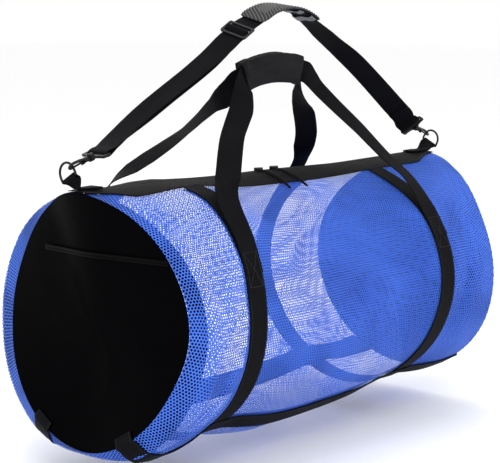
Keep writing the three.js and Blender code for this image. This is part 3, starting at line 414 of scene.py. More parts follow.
def bump(tree, shader, height, distance, strength=1.0):
    node = tree.nodes.new("ShaderNodeBump")
    node.inputs["Distance"].default_value = distance
    node.inputs["Strength"].default_value = strength
    tree.links.new(height, node.inputs["Height"])
    tree.links.new(node.outputs[0], shader.inputs["Normal"])
    return node


def coordinates(tree, name):
    return tree.nodes.new("ShaderNodeTexCoord").outputs[name]


def tint(tree, factor, low, high):
    mix = tree.nodes.new("ShaderNodeMix")
    mix.data_type = "RGBA"
    for name, value in (("A", low), ("B", high)):
        if hasattr(value, "links"):
            tree.links.new(value, mix.inputs[name])
        else:
            mix.inputs[name].default_value = (*value, 1)
    tree.links.new(factor, mix.inputs["Factor"])
    return mix.outputs["Result"]


def cloudy(tree, scale, detail=3.0, source="Object"):
    noise_node = tree.nodes.new("ShaderNodeTexNoise")
    noise_node.inputs["Scale"].default_value = scale
    noise_node.inputs["Detail"].default_value = detail
    tree.links.new(coordinates(tree, source), noise_node.inputs["Vector"])
    return noise_node.outputs["Fac"]


print("node helpers ready")

# %% [markdown]
# The blue cloth is a knitted mesh with round holes about 4 mm apart in staggered rows. The holes are
# too many to cut, so they are an alpha mask worked out from the UV map: the distance to the nearest
# point of two interleaved lattices. The same distance rounds the yarn between the holes.

# %% Node group for the knit
knit, given, result = shader_group(
    "knit holes",
    [("UV", "Vector", None), ("Pitch", "Float", 0.004), ("Hole", "Float", 0.34)],
    [("Yarn", "Float"), ("Height", "Float")],
)
ROOT3 = math.sqrt(3)
scaled = knit.nodes.new("ShaderNodeVectorMath")
scaled.operation = "SCALE"
knit.links.new(given["UV"], scaled.inputs[0])
knit.links.new(math_node(knit, "DIVIDE", 1.0, given["Pitch"]), scaled.inputs["Scale"])
cell = vector_node(knit, "MULTIPLY", scaled.outputs[0], (1, 1 / ROOT3, 0))
distances = []
for shift in ((0, 0, 0), (0.5, 0.5, 0)):
    inside = vector_node(knit, "FRACTION", vector_node(knit, "ADD", cell, shift))
    centred = vector_node(knit, "MULTIPLY", vector_node(knit, "SUBTRACT", inside, (0.5, 0.5, 0)), (1, ROOT3, 0))
    distances.append(vector_node(knit, "LENGTH", centred, out=1))
nearest = math_node(knit, "MINIMUM", *distances)
knit.links.new(math_node(knit, "GREATER_THAN", nearest, given["Hole"]), result["Yarn"])
knit.links.new(ramp(knit, nearest, given["Hole"], 0.56), result["Height"])
print("node group", knit.name)


# %% [markdown]
# The yarn isn't one flat blue: where the cloth folds it looks a little lighter or deeper, so a soft
# cloud mixes two blues. Another cloud opens and closes the holes, as they do where the cloth is pulled.
# The mask goes into Alpha, which lets the camera look through to the far wall.

# %% Blue mesh material
YARN_DEEP = (0.050, 0.150, 0.74)
YARN_LIGHT = (0.074, 0.210, 0.92)
# The lining behind the holes is a real lining, but its blue is made much darker than its own colour as painted shade
# inside the bag.
LINING_DARKENED_AS_SHADE = (0.003, 0.010, 0.075)
PITCH = 0.0050


def mesh_material(name, hole, lined=False):
    material, tree, shader = plain(name, YARN_LIGHT, 0.55, specular=0.2)
    knitted = place_group(tree, knit, coordinates(tree, "UV"), Pitch=PITCH)
    stretched = ramp(tree, cloudy(tree, 11), 0.38, 0.62, hole - 0.035, hole + 0.03)
    tree.links.new(stretched, knitted.inputs["Hole"])
    yarn = tint(tree, cloudy(tree, 16), YARN_DEEP, YARN_LIGHT)
    if lined:
        # The holes of the lined mesh show the lining in painted shade.
        yarn = tint(tree, knitted.outputs["Yarn"], LINING_DARKENED_AS_SHADE, yarn)
    else:
        tree.links.new(knitted.outputs["Yarn"], shader.inputs["Alpha"])
    tree.links.new(yarn, shader.inputs["Base Color"])
    bump(tree, shader, knitted.outputs["Height"], 0.0008)
    return material


blue_mesh = mesh_material("blue mesh", 0.345)
lined_mesh = mesh_material("lined blue mesh with painted shade", 0.33, lined=True)
print("materials", blue_mesh.name, "and", lined_mesh.name)

# %% [markdown]
# On the real bag the mesh is cut as one long piece and sewn along the zip and both rims. It could be a
# tube made smaller and larger with proportional editing, but then the hoops would need the same edit.
# One flat grid laid on the shared surface fits them exactly. Thin creases run where the cloth is
# pulled, and they fade out under the webbing, which holds the cloth flat.

# %% Fine creases of the mesh
SLOT = math.degrees(33 / RADIUS)
BAND = math.degrees(51 / RADIUS)
STRAP_TURN = 151
# place, turn, heading, length, width and depth in millimetres of each thin crease
FINE = [
    (-0.86, 262, 80, 0.50, 0.035, 3.6), (-0.80, 245, 62, 0.45, 0.030, 3.4), (-0.72, 236, 50, 0.40, 0.030, 3.2),
    (-0.78, 272, 35, 0.28, 0.022, 3.2), (-0.74, 262, 15, 0.30, 0.022, 3.0), (-0.80, 282, -20, 0.26, 0.022, 2.8),
    (-0.72, 250, -30, 0.30, 0.022, 3.0), (-0.84, 236, 55, 0.35, 0.025, 3.6), (-0.76, 308, 25, 0.28, 0.022, 2.6),
    (-0.90, 300, 80, 0.35, 0.030, 2.0), (-0.76, 292, 40, 0.35, 0.030, 2.2), (-0.45, 285, 35, 0.50, 0.035, 2.4),
    (-0.30, 262, 20, 0.55, 0.030, 2.4), (-0.42, 240, 60, 0.40, 0.030, 2.2), (0.05, 300, 28, 0.50, 0.030, 2.6),
    (0.16, 262, -35, 0.45, 0.030, 2.4), (0.33, 250, -60, 0.40, 0.030, 2.6), (-0.05, 235, 15, 0.50, 0.030, 2.4),
    (0.75, 262, 75, 0.45, 0.030, 2.2), (0.88, 285, 80, 0.40, 0.030, 2.0), (-0.70, 95, -60, 0.45, 0.030, 2.6),
    (-0.20, 80, -25, 0.50, 0.030, 2.6), (0.20, 100, 30, 0.50, 0.030, 2.6), (0.75, 75, -70, 0.40, 0.030, 2.2),
    (-0.10, 180, 15, 0.50, 0.030, 2.0), (0.40, 190, -20, 0.40, 0.030, 2.0), (0.02, 62, 20, 0.45, 0.030, 2.4),
]


def calm(along, turn):
    """0 under the webbing and at the rims, and 1 well away from them."""
    hoop = np.min([np.abs(along - place) for place in HOOPS.values()], axis=0) - WEB / 2
    rim = HALF - np.abs(along)
    folded = np.abs((turn + 180) % 360 - 180)
    strap = np.radians(np.abs(folded - STRAP_TURN)) * RADIUS - WEB / 2
    zip_edge = np.radians(folded - BAND) * RADIUS
    return np.clip(np.min([hoop, rim, strap, zip_edge], axis=0) / 22, 0, 1)


def wrinkle(along, turn):
    depth = 0.6 * (1 + np.sin(along / 17 + turn / 5) * np.sin(turn / 9 - along / 43)) * (0.2 + 0.8 * calm(along, turn))
    for place, middle, heading, long, wide, deep in FINE:
        dx = (along - place * HALF) / RADIUS
        dt = np.radians((turn - middle + 540) % 360 - 180)
        h = math.radians(heading)
        p, q = dx * math.cos(h) + dt * math.sin(h), -dx * math.sin(h) + dt * math.cos(h)
        depth = depth + deep * calm(along, turn) * np.exp(-((q / wide) ** 2) - (p / long) ** 4)
    return -1.0 - depth


print(len(FINE), "thin creases")

# %% [markdown]
# Towards both rims the zip's tapes are folded under and the slot between them closes, so the band runs
# out in a narrow end. All that lies along the zip is drawn in by one function of the place on the bag.

# %% Draw the zip in at its ends
COIL = math.degrees((2.5 + GAP) / RADIUS)
DRAWN_IN = 52.0
NARROW = 0.34


def drawn_in(along, turn):
    """The turn of a point near the zip, moved towards the coil near the rims."""
    f = np.clip((HALF - np.abs(along)) / DRAWN_IN, 0, 1)
    share = NARROW + (1 - NARROW) * f * f * (3 - 2 * f)
    side = (turn + 180) % 360 - 180
    edge = COIL + (SLOT - COIL) * share
    near = np.sign(side) * (COIL + (np.abs(side) - COIL) * share)
    beyond = np.sign(side) * (180 - (180 - np.abs(side)) * (180 - edge) / (180 - SLOT))
    moved = np.where(np.abs(side) <= COIL, side, np.where(np.abs(side) < SLOT, near, beyond))
    return moved % 360


print("the zip narrows over", DRAWN_IN, "mm at each end")

# %% Barrel
along = spaced([-HALF, -370, -340, -267, -254, -216, -203, 193, 206, 244, 257, 350, HALF], 3.6)
turns = spaced([SLOT, 360 - SLOT], 1.1)
barrel = on_bag("barrel_mesh_cloth", along, turns, wrinkle, drawn_in)
dress(barrel, blue_mesh, "mesh_barrel", smooth=180)

# %% [markdown]
# The two ends are discs sewn into the barrel. The near one is black coated cloth, and the far one is
# blue mesh with a lining, so it isn't seen through. Each swells a little, and its edge follows the
# rim. A disc of fanned faces would pinch at its middle, so a grid of rings and spokes is closed there.

# %% End panels
DOME = 8.0
CLOTH = 2.0


def panel_point(side, share, turn, lift):
    rim = cloth_point(np.full(len(turn), side * HALF), turn)
    under_zip = 1.5 * np.exp(-(((turn + 180) % 360 - 180) / 5.5) ** 2)
    edge = skin(np.full(len(turn), side * HALF), turn, under_zip - 0.6 * CLOTH)
    r = (np.hypot(edge[:, 1], edge[:, 2]) - GAP) * share
    reach = HALF + (np.abs(rim[:, 0]) - HALF) * share ** 2 + DOME * (1 - share ** 2)
    t = np.radians(turn)
    return np.stack([side * (reach + lift), r * np.sin(t), r * np.cos(t)], axis=1)


def panel(name, side, lift):
    shares, spokes = np.linspace(0, 1, 60), np.linspace(0, 360, 181)
    place = lambda i, j: panel_point(side, shares[i], spokes[j], lift(shares[i], spokes[j])) - REST
    piece = grid(name, len(shares), len(spokes), place, lambda i, j: place(i, j)[:, 1:])
    only(piece)
    bpy.ops.object.mode_set(mode="EDIT")
    bpy.ops.mesh.select_all(action="SELECT")
    bpy.ops.mesh.remove_doubles(threshold=1e-5)
    bpy.ops.object.mode_set(mode="OBJECT")
    return face_out(piece, MIDDLE)


slack = lambda share, turn: 0.7 * np.sin(np.radians(turn) * 3 + share * 4) * share * (1 - share) * 4
far_panel = panel("far_mesh_disc", 1, lambda s, t: -1.0 - np.abs(slack(s, t)))
dress(far_panel, lined_mesh, "end_panel_far", smooth=180)
near_panel = panel("near_black_disc", -1, lambda s, t: -0.4 - np.abs(slack(s, t)))

# %% [markdown]
# Coated cloth is a close weave under a thin smooth film. It is nearly black, and shows its form only
# in a few soft highlights, so its roughness is uneven and its surface very slightly lumpy.

# %% Black coated cloth
coated, tree, shader = plain("black coated cloth", (0.0008, 0.0008, 0.0011), 0.42, specular=0.010)
lumps = cloudy(tree, 14)
tree.links.new(ramp(tree, lumps, 0.3, 0.7, 0.34, 0.5), shader.inputs["Roughness"])
tree.links.new(tint(tree, cloudy(tree, 160, 5), (0.0005, 0.0005, 0.0008), (0.0012, 0.0012, 0.0016)), shader.inputs["Base Color"])
bump(tree, shader, lumps, 0.002, 0.35)
modify(near_panel, "SOLIDIFY", thickness=1.2 * MM, offset=-1.0)
dress(near_panel, coated, "end_panel_near")
for disc, sides in ((far_panel, 1), (near_panel, 2)):
    disc_area = sum(face.area for face in disc.data.polygons) / sides
    across = 2 * math.sqrt(disc_area / math.pi)
    print(disc.name, "was cut", round(across, 3), "m across")

# %% [markdown]
# Inside the near rim the black cloth's edge is turned back under the mesh. It shows through the holes
# as dark dots all round the disc. It is a short sheet on the same surface, a little further in.

# %% Seam allowance
turns_round = spaced([2, 358], 2.5)
allowance = on_bag("near_seam_tape", spaced([-380.5, -365], 3), turns_round, lambda a, t: np.full(len(a), -2.9))
modify(allowance, "SOLIDIFY", thickness=1.0 * MM, offset=0.0)
dress(allowance, coated, "seam_allowance")

# %% [markdown]
# Webbing is a long flat band. The CAD model already gives each band's route, so its cross-sections are
# read from the solid one after another, starting at an end. A flat grid of the band's own length is
# then laid along that route, given its thickness with Solidify, and its edges are rounded with Bevel.

# %% Read a band's route from its solid
def route_of(node):
    """Each cross-section of a band: its middle, and its half width and half thickness as vectors."""
    bm = bmesh.new()
    bm.from_mesh(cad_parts[node].data)
    bmesh.ops.remove_doubles(bm, verts=bm.verts, dist=1e-6)
    bm.verts.ensure_lookup_table()
    for edge in bm.edges:
        if len(edge.link_faces) != 2 or edge.calc_face_angle() > 0.05:
            continue
        rim = {e for face in edge.link_faces for e in face.edges} - {edge}
        if min(e.calc_face_angle() for e in rim) < 0.6:
            continue
        rings = walk(bm, {v for e in rim for v in e.verts})
        if rings:
            break
    else:
        raise ValueError(f"{node} has no plain end")
    rings = [[np.array(v.co) for v in ring] for ring in rings]
    bm.free()
    return tidy_rings(rings)


def walk(bm, start):
    rings, seen = [list(start)], set(start)
    while len(seen) < len(bm.verts):
        reached = {e.other_vert(v) for v in rings[-1] for e in v.link_edges} - seen
        if len(reached) != 4:
            return None
        rings.append(list(reached))
        seen |= reached
    return rings


def tidy_rings(rings):
    first = rings[0]
    orders = [[first[k] for k in order] for order in itertools.permutations(range(4))]
    length = lambda a, b: np.linalg.norm(a - b)
    first = min(orders, key=lambda p: length(p[1], p[2]) + length(p[3], p[0]) - length(p[0] + p[1], p[2] + p[3]) / 4)
    middles, widths, heights = [], [], []
    for ring in rings:
        centre = sum(ring) / 4
        shape = [p - centre for p in ring]
        if middles:
            options = [[shape[k] for k in order] for order in itertools.permutations(range(4))]
            shape = min(options, key=lambda p: sum(length(a, b) for a, b in zip(p, last)))
        else:
            shape = [p - centre for p in first]
        last = shape
        middles.append(centre)
        widths.append((shape[1] + shape[2] - shape[0] - shape[3]) / 4)
        heights.append((shape[0] + shape[1] - shape[2] - shape[3]) / 4)
    return np.array(middles), np.array(widths), np.array(heights)


def smooth_route(values, knots, wanted):
    """Values between the knots, along a smooth curve through them."""
    i = np.clip(np.searchsorted(knots, wanted, side="right") - 1, 0, len(knots) - 2)
    f = ((wanted - knots[i]) / (knots[i + 1] - knots[i]))[:, None]
    slopes = np.gradient(values, knots, axis=0)
    span = (knots[i + 1] - knots[i])[:, None]
    f2, f3 = f * f, f * f * f
    low, high = values[i], values[i + 1]
    return (low * (2 * f3 - 3 * f2 + 1) + slopes[i] * span * (f3 - 2 * f2 + f)
            + high * (3 * f2 - 2 * f3) + slopes[i + 1] * span * (f3 - f2))


def sampled(node, step):
    """A band's route at even steps: distances, middles, half widths and unit heights."""
    middles, widths, heights = route_of(node)
    knots = np.concatenate([[0], np.cumsum(np.linalg.norm(np.diff(middles, axis=0), axis=1))])
    apart = np.concatenate([[True], np.diff(knots) > 0.02 * MM])
    knots, middles, widths, heights = knots[apart], middles[apart], widths[apart], heights[apart]
    stops = np.unique(np.concatenate([knots, np.linspace(0, knots[-1], max(2, int(knots[-1] / (step * MM))))]))
    stops = stops[np.concatenate([[True], np.diff(stops) > 0.4 * step * MM])]
    centre = smooth_route(middles, knots, stops)
    half = np.stack([np.interp(stops, knots, widths[:, k]) for k in range(3)], axis=1)
    up = np.stack([np.interp(stops, knots, heights[:, k]) for k in range(3)], axis=1)
    return stops, centre, half, up / np.linalg.norm(up, axis=1)[:, None]


def band(name, node, step=3.0, columns=7, thick=1.4, profile=None):
    """A flat band along its solid's route. profile lifts its columns, in millimetres."""
    stops, centre, half, up = sampled(node, step)
    if np.sum(up * (centre - np.array(MIDDLE))) < 0:
        up = -up
    across = np.linspace(-1, 1, columns)
    lifts = np.zeros(columns) if profile is None else np.array(profile)
    wide = np.linalg.norm(half, axis=1).mean()
    place = lambda i, j: (centre[j] + half[j] * across[i][:, None]) / MM + up[j] * lifts[i][:, None]
    flat = lambda i, j: np.stack([across[i] * wide, stops[j]], axis=1) / MM
    piece = grid(name, columns, len(stops), place, flat)
    modify(piece, "SOLIDIFY", thickness=thick * MM, offset=0.0)
    modify(piece, "BEVEL", width=0.45 * MM, segments=2, limit_method="ANGLE", angle_limit=math.radians(60))
    print(name, "is", round(stops[-1], 3), "m long,", int(np.isnan(up).sum()), "bad points")
    return piece


# %% [markdown]
# Webbing is woven in ribs that run along it, crossed by fine cords. Two waves make that height: one
# across the band for the ribs, and one along it that changes phase from rib to rib, as the cords of a
# weave pass over and under. The same height darkens the valleys as painted shade.

# %% Node group for the weave
weave, given, result = shader_group(
    "webbing weave",
    [("UV", "Vector", None), ("Rib", "Float", 0.0022), ("Cord", "Float", 0.0016)],
    [("Height", "Float"), ("Light", "Float")],
)
parts = weave.nodes.new("ShaderNodeSeparateXYZ")
weave.links.new(given["UV"], parts.inputs[0])
TURN = 2 * math.pi
ribs = math_node(weave, "DIVIDE", math_node(weave, "MULTIPLY", parts.outputs[0], TURN), given["Rib"])
cords = math_node(weave, "DIVIDE", math_node(weave, "MULTIPLY", parts.outputs[1], TURN), given["Cord"])
steps = math_node(weave, "ADD", cords, math_node(weave, "MULTIPLY", math_node(weave, "SIGN", math_node(weave, "SINE", ribs)), 1.57))
height = math_node(weave, "ADD", math_node(weave, "MULTIPLY", math_node(weave, "SINE", steps), 0.35),
                   math_node(weave, "MULTIPLY", math_node(weave, "COSINE", math_node(weave, "MULTIPLY", ribs, 2.0)), 0.15))
height = math_node(weave, "ADD", height, 0.5)
weave.links.new(height, result["Height"])
# Painted shade: this factor is 0 in the valleys of the weave and 1 on its crests.
weave.links.new(ramp(weave, height, 0.1, 0.9), result["Light"])
print("node group", weave.name)

# %% Black webbing
def woven(name, low, high, rib=0.0022, cord=0.0016, roughness=0.62, specular=0.05):
    material, tree, shader = plain(name, high, roughness, specular=specular)
    made = place_group(tree, weave, coordinates(tree, "UV"), Rib=rib, Cord=cord)
    wear_tone_and_painted_light = tint(tree, cloudy(tree, 30), low, high)
    # The valleys of the weave take the low colour as painted shade.
    tree.links.new(tint(tree, made.outputs["Light"], low, wear_tone_and_painted_light), shader.inputs["Base Color"])
    bump(tree, shader, made.outputs["Height"], 0.0005, 0.8)
    return material


webbing = woven("black webbing", (0.0028, 0.0028, 0.0040), (0.0095, 0.0095, 0.0115), specular=0.035)
for node, step in (("hoop_left", 6), ("hoop_right", 6), ("bottom_strap_near", 6), ("bottom_strap_far", 6)):
    dress(band(f"{node}_webbing", node, step), webbing, node)

# %% [markdown]
# The handles, the shoulder strap and the ring tabs are the same webbing. They bend and twist freely
# in the air, so they take shorter steps along their routes than the hoops do.

# %% Handles, shoulder strap and ring tabs
for node, step in (("handle_near", 4), ("handle_far", 4), ("shoulder_strap", 3), ("ring_tab_left", 2), ("ring_tab_right", 2)):
    dress(band(f"{node}_webbing", node, step), webbing, node)

# %% [markdown]
# Inside the bag, each hoop and bottom strap is backed by a blue tape, which is why the far ones look
# solid blue through the mesh. Each tape is a sheet on the cloth's surface, just inside the mesh.

# %% Blue lining tapes
lining_cloth = woven("blue lining tape", (0.018, 0.062, 0.36), (0.038, 0.120, 0.62), 0.0016, 0.0012, 0.6, 0.2)
LINING_LIFT = -3.4
deep_inside = lambda a, t: np.full(len(a), LINING_LIFT)
for node, place in HOOPS.items():
    tape = on_bag(f"{node}_lining", np.linspace(place - WEB / 2, place + WEB / 2, 7), spaced([BAND, 360 - BAND], 2.0), deep_inside)
    dress(tape, lining_cloth, smooth=180)
WEB_TURN = math.degrees(WEB / 2 / RADIUS)
for name, middle in (("near", 360 - STRAP_TURN), ("far", STRAP_TURN)):
    edges = np.linspace(middle - WEB_TURN, middle + WEB_TURN, 7)
    tape = on_bag(f"bottom_{name}_lining", spaced([-HALF + 6, HALF - 6], 6), edges, lambda a, t: np.full(len(a), LINING_LIFT - 0.8))
    dress(tape, lining_cloth, smooth=180)

# %% [markdown]
# The zip is two woven tapes over the edges of a slot, with a nylon coil between them. Each half of the
# coil is a row of loops that interlock with the other half. A wave along each half, with the halves
# half a wave apart, gives that row of teeth without hundreds of separate loops.

# %% Zip tapes and coil
tape_cloth = woven("zip tape cloth", (0.0040, 0.0040, 0.0050), (0.0110, 0.0110, 0.0130), 0.0012, 0.0009)


def tape_turn(along, turn):
    """Narrows a tape towards the rims, as the slot under it narrows."""
    f = np.clip((HALF - np.abs(along)) / DRAWN_IN, 0, 1)
    share = NARROW + (1 - NARROW) * f * f * (3 - 2 * f)
    side = (turn + 180) % 360 - 180
    return np.sign(side) * (COIL + (np.abs(side) - COIL) * share)


tape_places = spaced([-HALF, HALF], 6)
for node, edges in (("zip_tape_near", (360 - BAND, 360 - COIL)), ("zip_tape_far", (COIL, BAND))):
    flat_lift = lambda a, t: np.full(len(a), GAP + 0.8)
    tape = on_bag(f"{node}_cloth", tape_places, np.linspace(*edges, 12), flat_lift, tape_turn)
    modify(tape, "SOLIDIFY", thickness=1.4 * MM, offset=0.0)
    dress(tape, tape_cloth, node)

TOOTH = 2.1
COIL_HALF = math.degrees(2.4 / RADIUS)
teeth_turns = np.linspace(-COIL_HALF, COIL_HALF, 9)


def tooth_lift(along, turn):
    crown = 1 - (np.abs(turn) / COIL_HALF) ** 3
    return 1.0 + 0.45 * crown + 0.35 * crown * np.sin(along / TOOTH * 2 * math.pi + np.where(turn > 0, math.pi, 0))


coil = on_bag("zip_coil_teeth", spaced([-HALF, HALF], TOOTH / 4), teeth_turns, tooth_lift)
modify(coil, "SOLIDIFY", thickness=0.8 * MM, offset=-1.0)
nylon, tree, shader = plain("coil nylon", (0.006, 0.006, 0.007), 0.4, specular=0.12)
tree.links.new(tint(tree, cloudy(tree, 300), (0.004, 0.004, 0.005), (0.009, 0.009, 0.010)), shader.inputs["Base Color"])
dress(coil, nylon, "zip_coil", smooth=60)

# %% [markdown]
# The pocket's zip hides between two folded lips of the black cloth. The lips are one band whose
# columns rise, dip in the middle and rise again, so each lip catches a thin line of light.

# %% Pocket zip and pad keepers
LIPS = (0.0, 0.3, 0.5, 0.35, 0.0, -0.5, 0.0, 0.35, 0.5, 0.3, 0.0)
lip_cloth, tree, shader = plain("pocket lip cloth", (0.0010, 0.0010, 0.0013), 0.4, specular=0.03)
bump(tree, shader, cloudy(tree, 700, 2), 0.0004, 0.5)
dress(band("pocket_zip_lips", "pocket_zip", 4, len(LIPS), 1.1, LIPS), lip_cloth, "pocket_zip")
grey = woven("grey band", (0.16, 0.165, 0.17), (0.30, 0.31, 0.32), 0.002, 0.0015)
for node in ("pad_keeper_middle", "pad_keeper_right"):
    dress(band(f"{node}_band", node, 2, 5, 1.0), grey, node)

# %% [markdown]
# A row of stitches is a thread that comes up, lies on the cloth for a few millimetres and goes down
# again. Thousands of small cylinders would be slow, so each row is one narrow strip that dives under
# the cloth between stitches. The rows keep 3 mm from the edges, as a sewing machine's foot does.

# %% Helper for a row of stitches
STITCH = 4.0
ARCH = np.array([-0.35, 0.22, 0.30, 0.22])
thread_pieces = []


def sew(name, points, sides, ups):
    """A thread along points a quarter of a stitch apart, in millimetres."""
    sides = sides / np.linalg.norm(sides, axis=1)[:, None]
    lift = ARCH[np.arange(len(points)) % 4]
    place = lambda i, j: points[j] + sides[j] * ((i - 1) * 0.42)[:, None] + ups[j] * (lift[j] + 0.18 * (i == 1))[:, None]
    flat = lambda i, j: np.stack([i * 0.4, j * STITCH / 4], axis=1)
    thread_pieces.append(grid(name, 3, len(points), place, flat))


def sew_on_bag(name, along, turn, lift):
    """A row that follows places and turns on the bag's own surface."""
    along, turn = np.asarray(along, float), np.asarray(turn, float)
    lengths = np.hypot(np.diff(along), np.radians(np.diff(turn)) * RADIUS)
    marks = np.concatenate([[0], np.cumsum(lengths)])
    even = np.arange(0, marks[-1], STITCH / 4)
    a, t = np.interp(even, marks, along), np.interp(even, marks, turn)
    points = skin(a, t, lift)
    ups = skin(a, t, lift + 1) - points
    sew(name, points - REST, np.cross(np.gradient(points, axis=0), ups), ups)


print("one stitch is", STITCH, "mm")

# %% Stitches on the hoops and the zip tapes
INSET = 3.0
for node, place in HOOPS.items():
    for edge in (-1, 1):
        sew_on_bag(f"{node}_row", [place + edge * (WEB / 2 - INSET)] * 2, [BAND + 2, 358 - BAND], GAP + WEB_THICK)
inner, outer = math.degrees((5.5 + GAP) / RADIUS), math.degrees((51 - INSET) / RADIUS)
for turn in (inner, outer, outer - 1.6, -inner, -outer, 1.6 - outer):
    along = np.linspace(-HALF + 4, HALF - 4, 160)
    sew_on_bag("tape_row", along, tape_turn(along, np.full(160, turn)), GAP + 1.5)
print(len(thread_pieces), "rows so far")

# %% [markdown]
# Where a handle is sewn to its hoop, the machine goes round a box and across both its corners. The
# corners are given once, in millimetres and degrees, and the row follows them on the curved cloth.

# %% Box stitches of the handles
LAP_LIFT = 4.0
BOX = [(-1, 58), (1, 58), (1, 73), (-1, 73), (-1, 58), (1, 73), (-1, 73), (1, 58)]
for place in HOOPS.values():
    for side in (1, -1):
        along = [place + 14 * share for share, turn in BOX]
        sew_on_bag("handle_box", along, [turn if side > 0 else 360 - turn for share, turn in BOX], LAP_LIFT)
print(len(thread_pieces), "rows so far")

# %% Stitches along the bottom straps
for node in ("bottom_strap_near", "bottom_strap_far"):
    stops, centre, half, up = sampled(node, STITCH / 4)
    if np.sum(up * (centre - np.array(MIDDLE))) < 0:
        up = -up
    inset_share = 1 - INSET / (WEB / 2)
    for edge in (-1, 1):
        points = (centre + half * edge * inset_share) / MM + up * 0.75
        sew(f"{node}_row", points, half, up)
print(len(thread_pieces), "rows in all")

# %% Black thread
thread, tree, shader = plain("black thread", (0.012, 0.012, 0.013), 0.5, specular=0.15)
tree.links.new(tint(tree, cloudy(tree, 900), (0.008, 0.008, 0.009), (0.020, 0.020, 0.022)), shader.inputs["Base Color"])
bpy.ops.object.select_all(action="DESELECT")
for piece in thread_pieces:
    piece.select_set(True)
bpy.context.view_layer.objects.active = thread_pieces[0]
bpy.ops.object.join()
stitches = bpy.context.object
stitches.name = "black_stitches"
dress(stitches, thread, smooth=180)

# %% [markdown]
# The rings, hooks, gates, frames and sliders are hard parts whose shape is right in the CAD model.
# Each is copied and merged, its edges are softened with a small bevel, and it is smoothed by angle.
# Handling leaves fine scratches and a slight grain, which metal, plastic and rubber share as a group.

# %% Node group for grain and scuffs
grain, given, result = shader_group(
    "grain and scuffs",
    [("Place", "Vector", None), ("Fine", "Float", 900.0), ("Coarse", "Float", 60.0)],
    [("Grain", "Float"), ("Scuffs", "Float")],
)
fine = grain.nodes.new("ShaderNodeTexNoise")
coarse = grain.nodes.new("ShaderNodeTexNoise")
for node, scale in ((fine, "Fine"), (coarse, "Coarse")):
    grain.links.new(given["Place"], node.inputs["Vector"])
    grain.links.new(given[scale], node.inputs["Scale"])
    node.inputs["Detail"].default_value = 4
grain.links.new(fine.outputs["Fac"], result["Grain"])
scuffed = math_node(grain, "MULTIPLY", ramp(grain, coarse.outputs["Fac"], 0.55, 0.75), ramp(grain, fine.outputs["Fac"], 0.4, 0.7))
grain.links.new(scuffed, result["Scuffs"])
print("node group", grain.name)


# %% Metal and plastic
def hard(name, base, scuff, smooth_rough, scuff_rough, specular, grit, metallic=0.0, fine_scale=900.0):
    material, tree, shader = plain(name, base, smooth_rough, metallic, specular)
    made = place_group(tree, grain, coordinates(tree, "Object"), Fine=fine_scale)
    tree.links.new(tint(tree, made.outputs["Scuffs"], base, scuff), shader.inputs["Base Color"])
    tree.links.new(ramp(tree, made.outputs["Scuffs"], 0, 1, smooth_rough, scuff_rough), shader.inputs["Roughness"])
    bump(tree, shader, made.outputs["Grain"], grit, 0.5)
    return material


metal = hard("black enamelled metal", (0.008, 0.008, 0.009), (0.030, 0.030, 0.032), 0.3, 0.5, 0.2, 0.0001, 0.1)
plastic = hard("black moulded plastic", (0.008, 0.008, 0.009), (0.024, 0.024, 0.026), 0.38, 0.6, 0.14, 0.0002)
print("materials", metal.name, "and", plastic.name)


# %% Hard parts
def copied(name, node):
    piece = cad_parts[node].copy()
    piece.data = piece.data.copy()
    piece.name = name
    for key in list(piece.keys()):
        del piece[key]
    piece.parent = None
    bpy.context.scene.collection.objects.link(piece)
    only(piece)
    bpy.ops.object.mode_set(mode="EDIT")
    bpy.ops.mesh.select_all(action="SELECT")
    bpy.ops.mesh.remove_doubles(threshold=1e-6)
    bpy.ops.object.mode_set(mode="OBJECT")
    if piece.data.has_custom_normals:
        bpy.ops.mesh.customdata_custom_splitnormals_clear()
    return piece


HARD = {
    "hook_left": (metal, 0.3), "hook_right": (metal, 0.3), "gate_left": (metal, 0.25), "gate_right": (metal, 0.25),
    "hook_frame_left": (plastic, 0.5), "hook_frame_right": (plastic, 0.5), "strap_slider": (plastic, 0.5),
    "zip_slider_left": (metal, 0.5), "zip_slider_right": (metal, 0.5),
}
GATES = {"gate_left": "left_gate", "gate_right": "right_gate"}
for node, (finish, width) in HARD.items():
    piece = copied(f"{node}_finished", node)
    modify(piece, "BEVEL", width=width * MM, segments=2, limit_method="ANGLE", angle_limit=math.radians(50))
    dress(piece, finish, node, body=GATES.get(node, BODY))

# %% [markdown]
# A ring is bent wire and a zip pull is a cord, so both are round all over. Their solids have eight and
# six sides, and a subdivision surface rounds those without changing their route.

# %% Rings and zip pulls
cord_cloth = woven("pull cord", (0.005, 0.005, 0.006), (0.013, 0.013, 0.015), 0.002, 0.0012)
ROUND = {"d_ring_left": metal, "d_ring_right": metal, "zip_pull_left": cord_cloth, "zip_pull_right": cord_cloth}
for node, finish in ROUND.items():
    piece = copied(f"{node}_finished", node)
    modify(piece, "SUBSURF", levels=2, render_levels=2)
    dress(piece, finish, node, smooth=180)

# %% [markdown]
# The shoulder pad is moulded rubber over foam. Slanting ribs grip a shoulder, and near one end a
# smooth raised patch interrupts them. An array of small bars would do, but ribs that are one skin with
# the pad need no joins: a flat grid follows the strap, and a wave along the slant lifts its points.

# %% Shoulder pad
RIB_PITCH = 6.8
RIB_RISE = 1.9
SLANT = math.tan(math.radians(38))
PAD_HIGH = 4.4
PATCH_AT = 44
PATCH_HALF = 19
PATCH_SHARE = 0.46
low, high = (corner.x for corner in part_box("shoulder_pad"))
_, centre, half, up = sampled("shoulder_strap", 0.7)
under_pad = (centre[:, 0] > low) & (centre[:, 0] < high) & (centre[:, 2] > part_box("shoulder_strap")[1].z - 0.06)
centre, half, up = centre[under_pad] / MM, half[under_pad], up[under_pad]
up *= np.sign(up[:, 2])[:, None]
half /= np.linalg.norm(half, axis=1)[:, None]
marks = np.concatenate([[0], np.cumsum(np.linalg.norm(np.diff(centre, axis=0), axis=1))])
if centre[0, 0] > centre[-1, 0]:
    marks = marks[-1] - marks
print("the strap runs", round(float(np.ptp(marks)), 1), "mm under the pad")


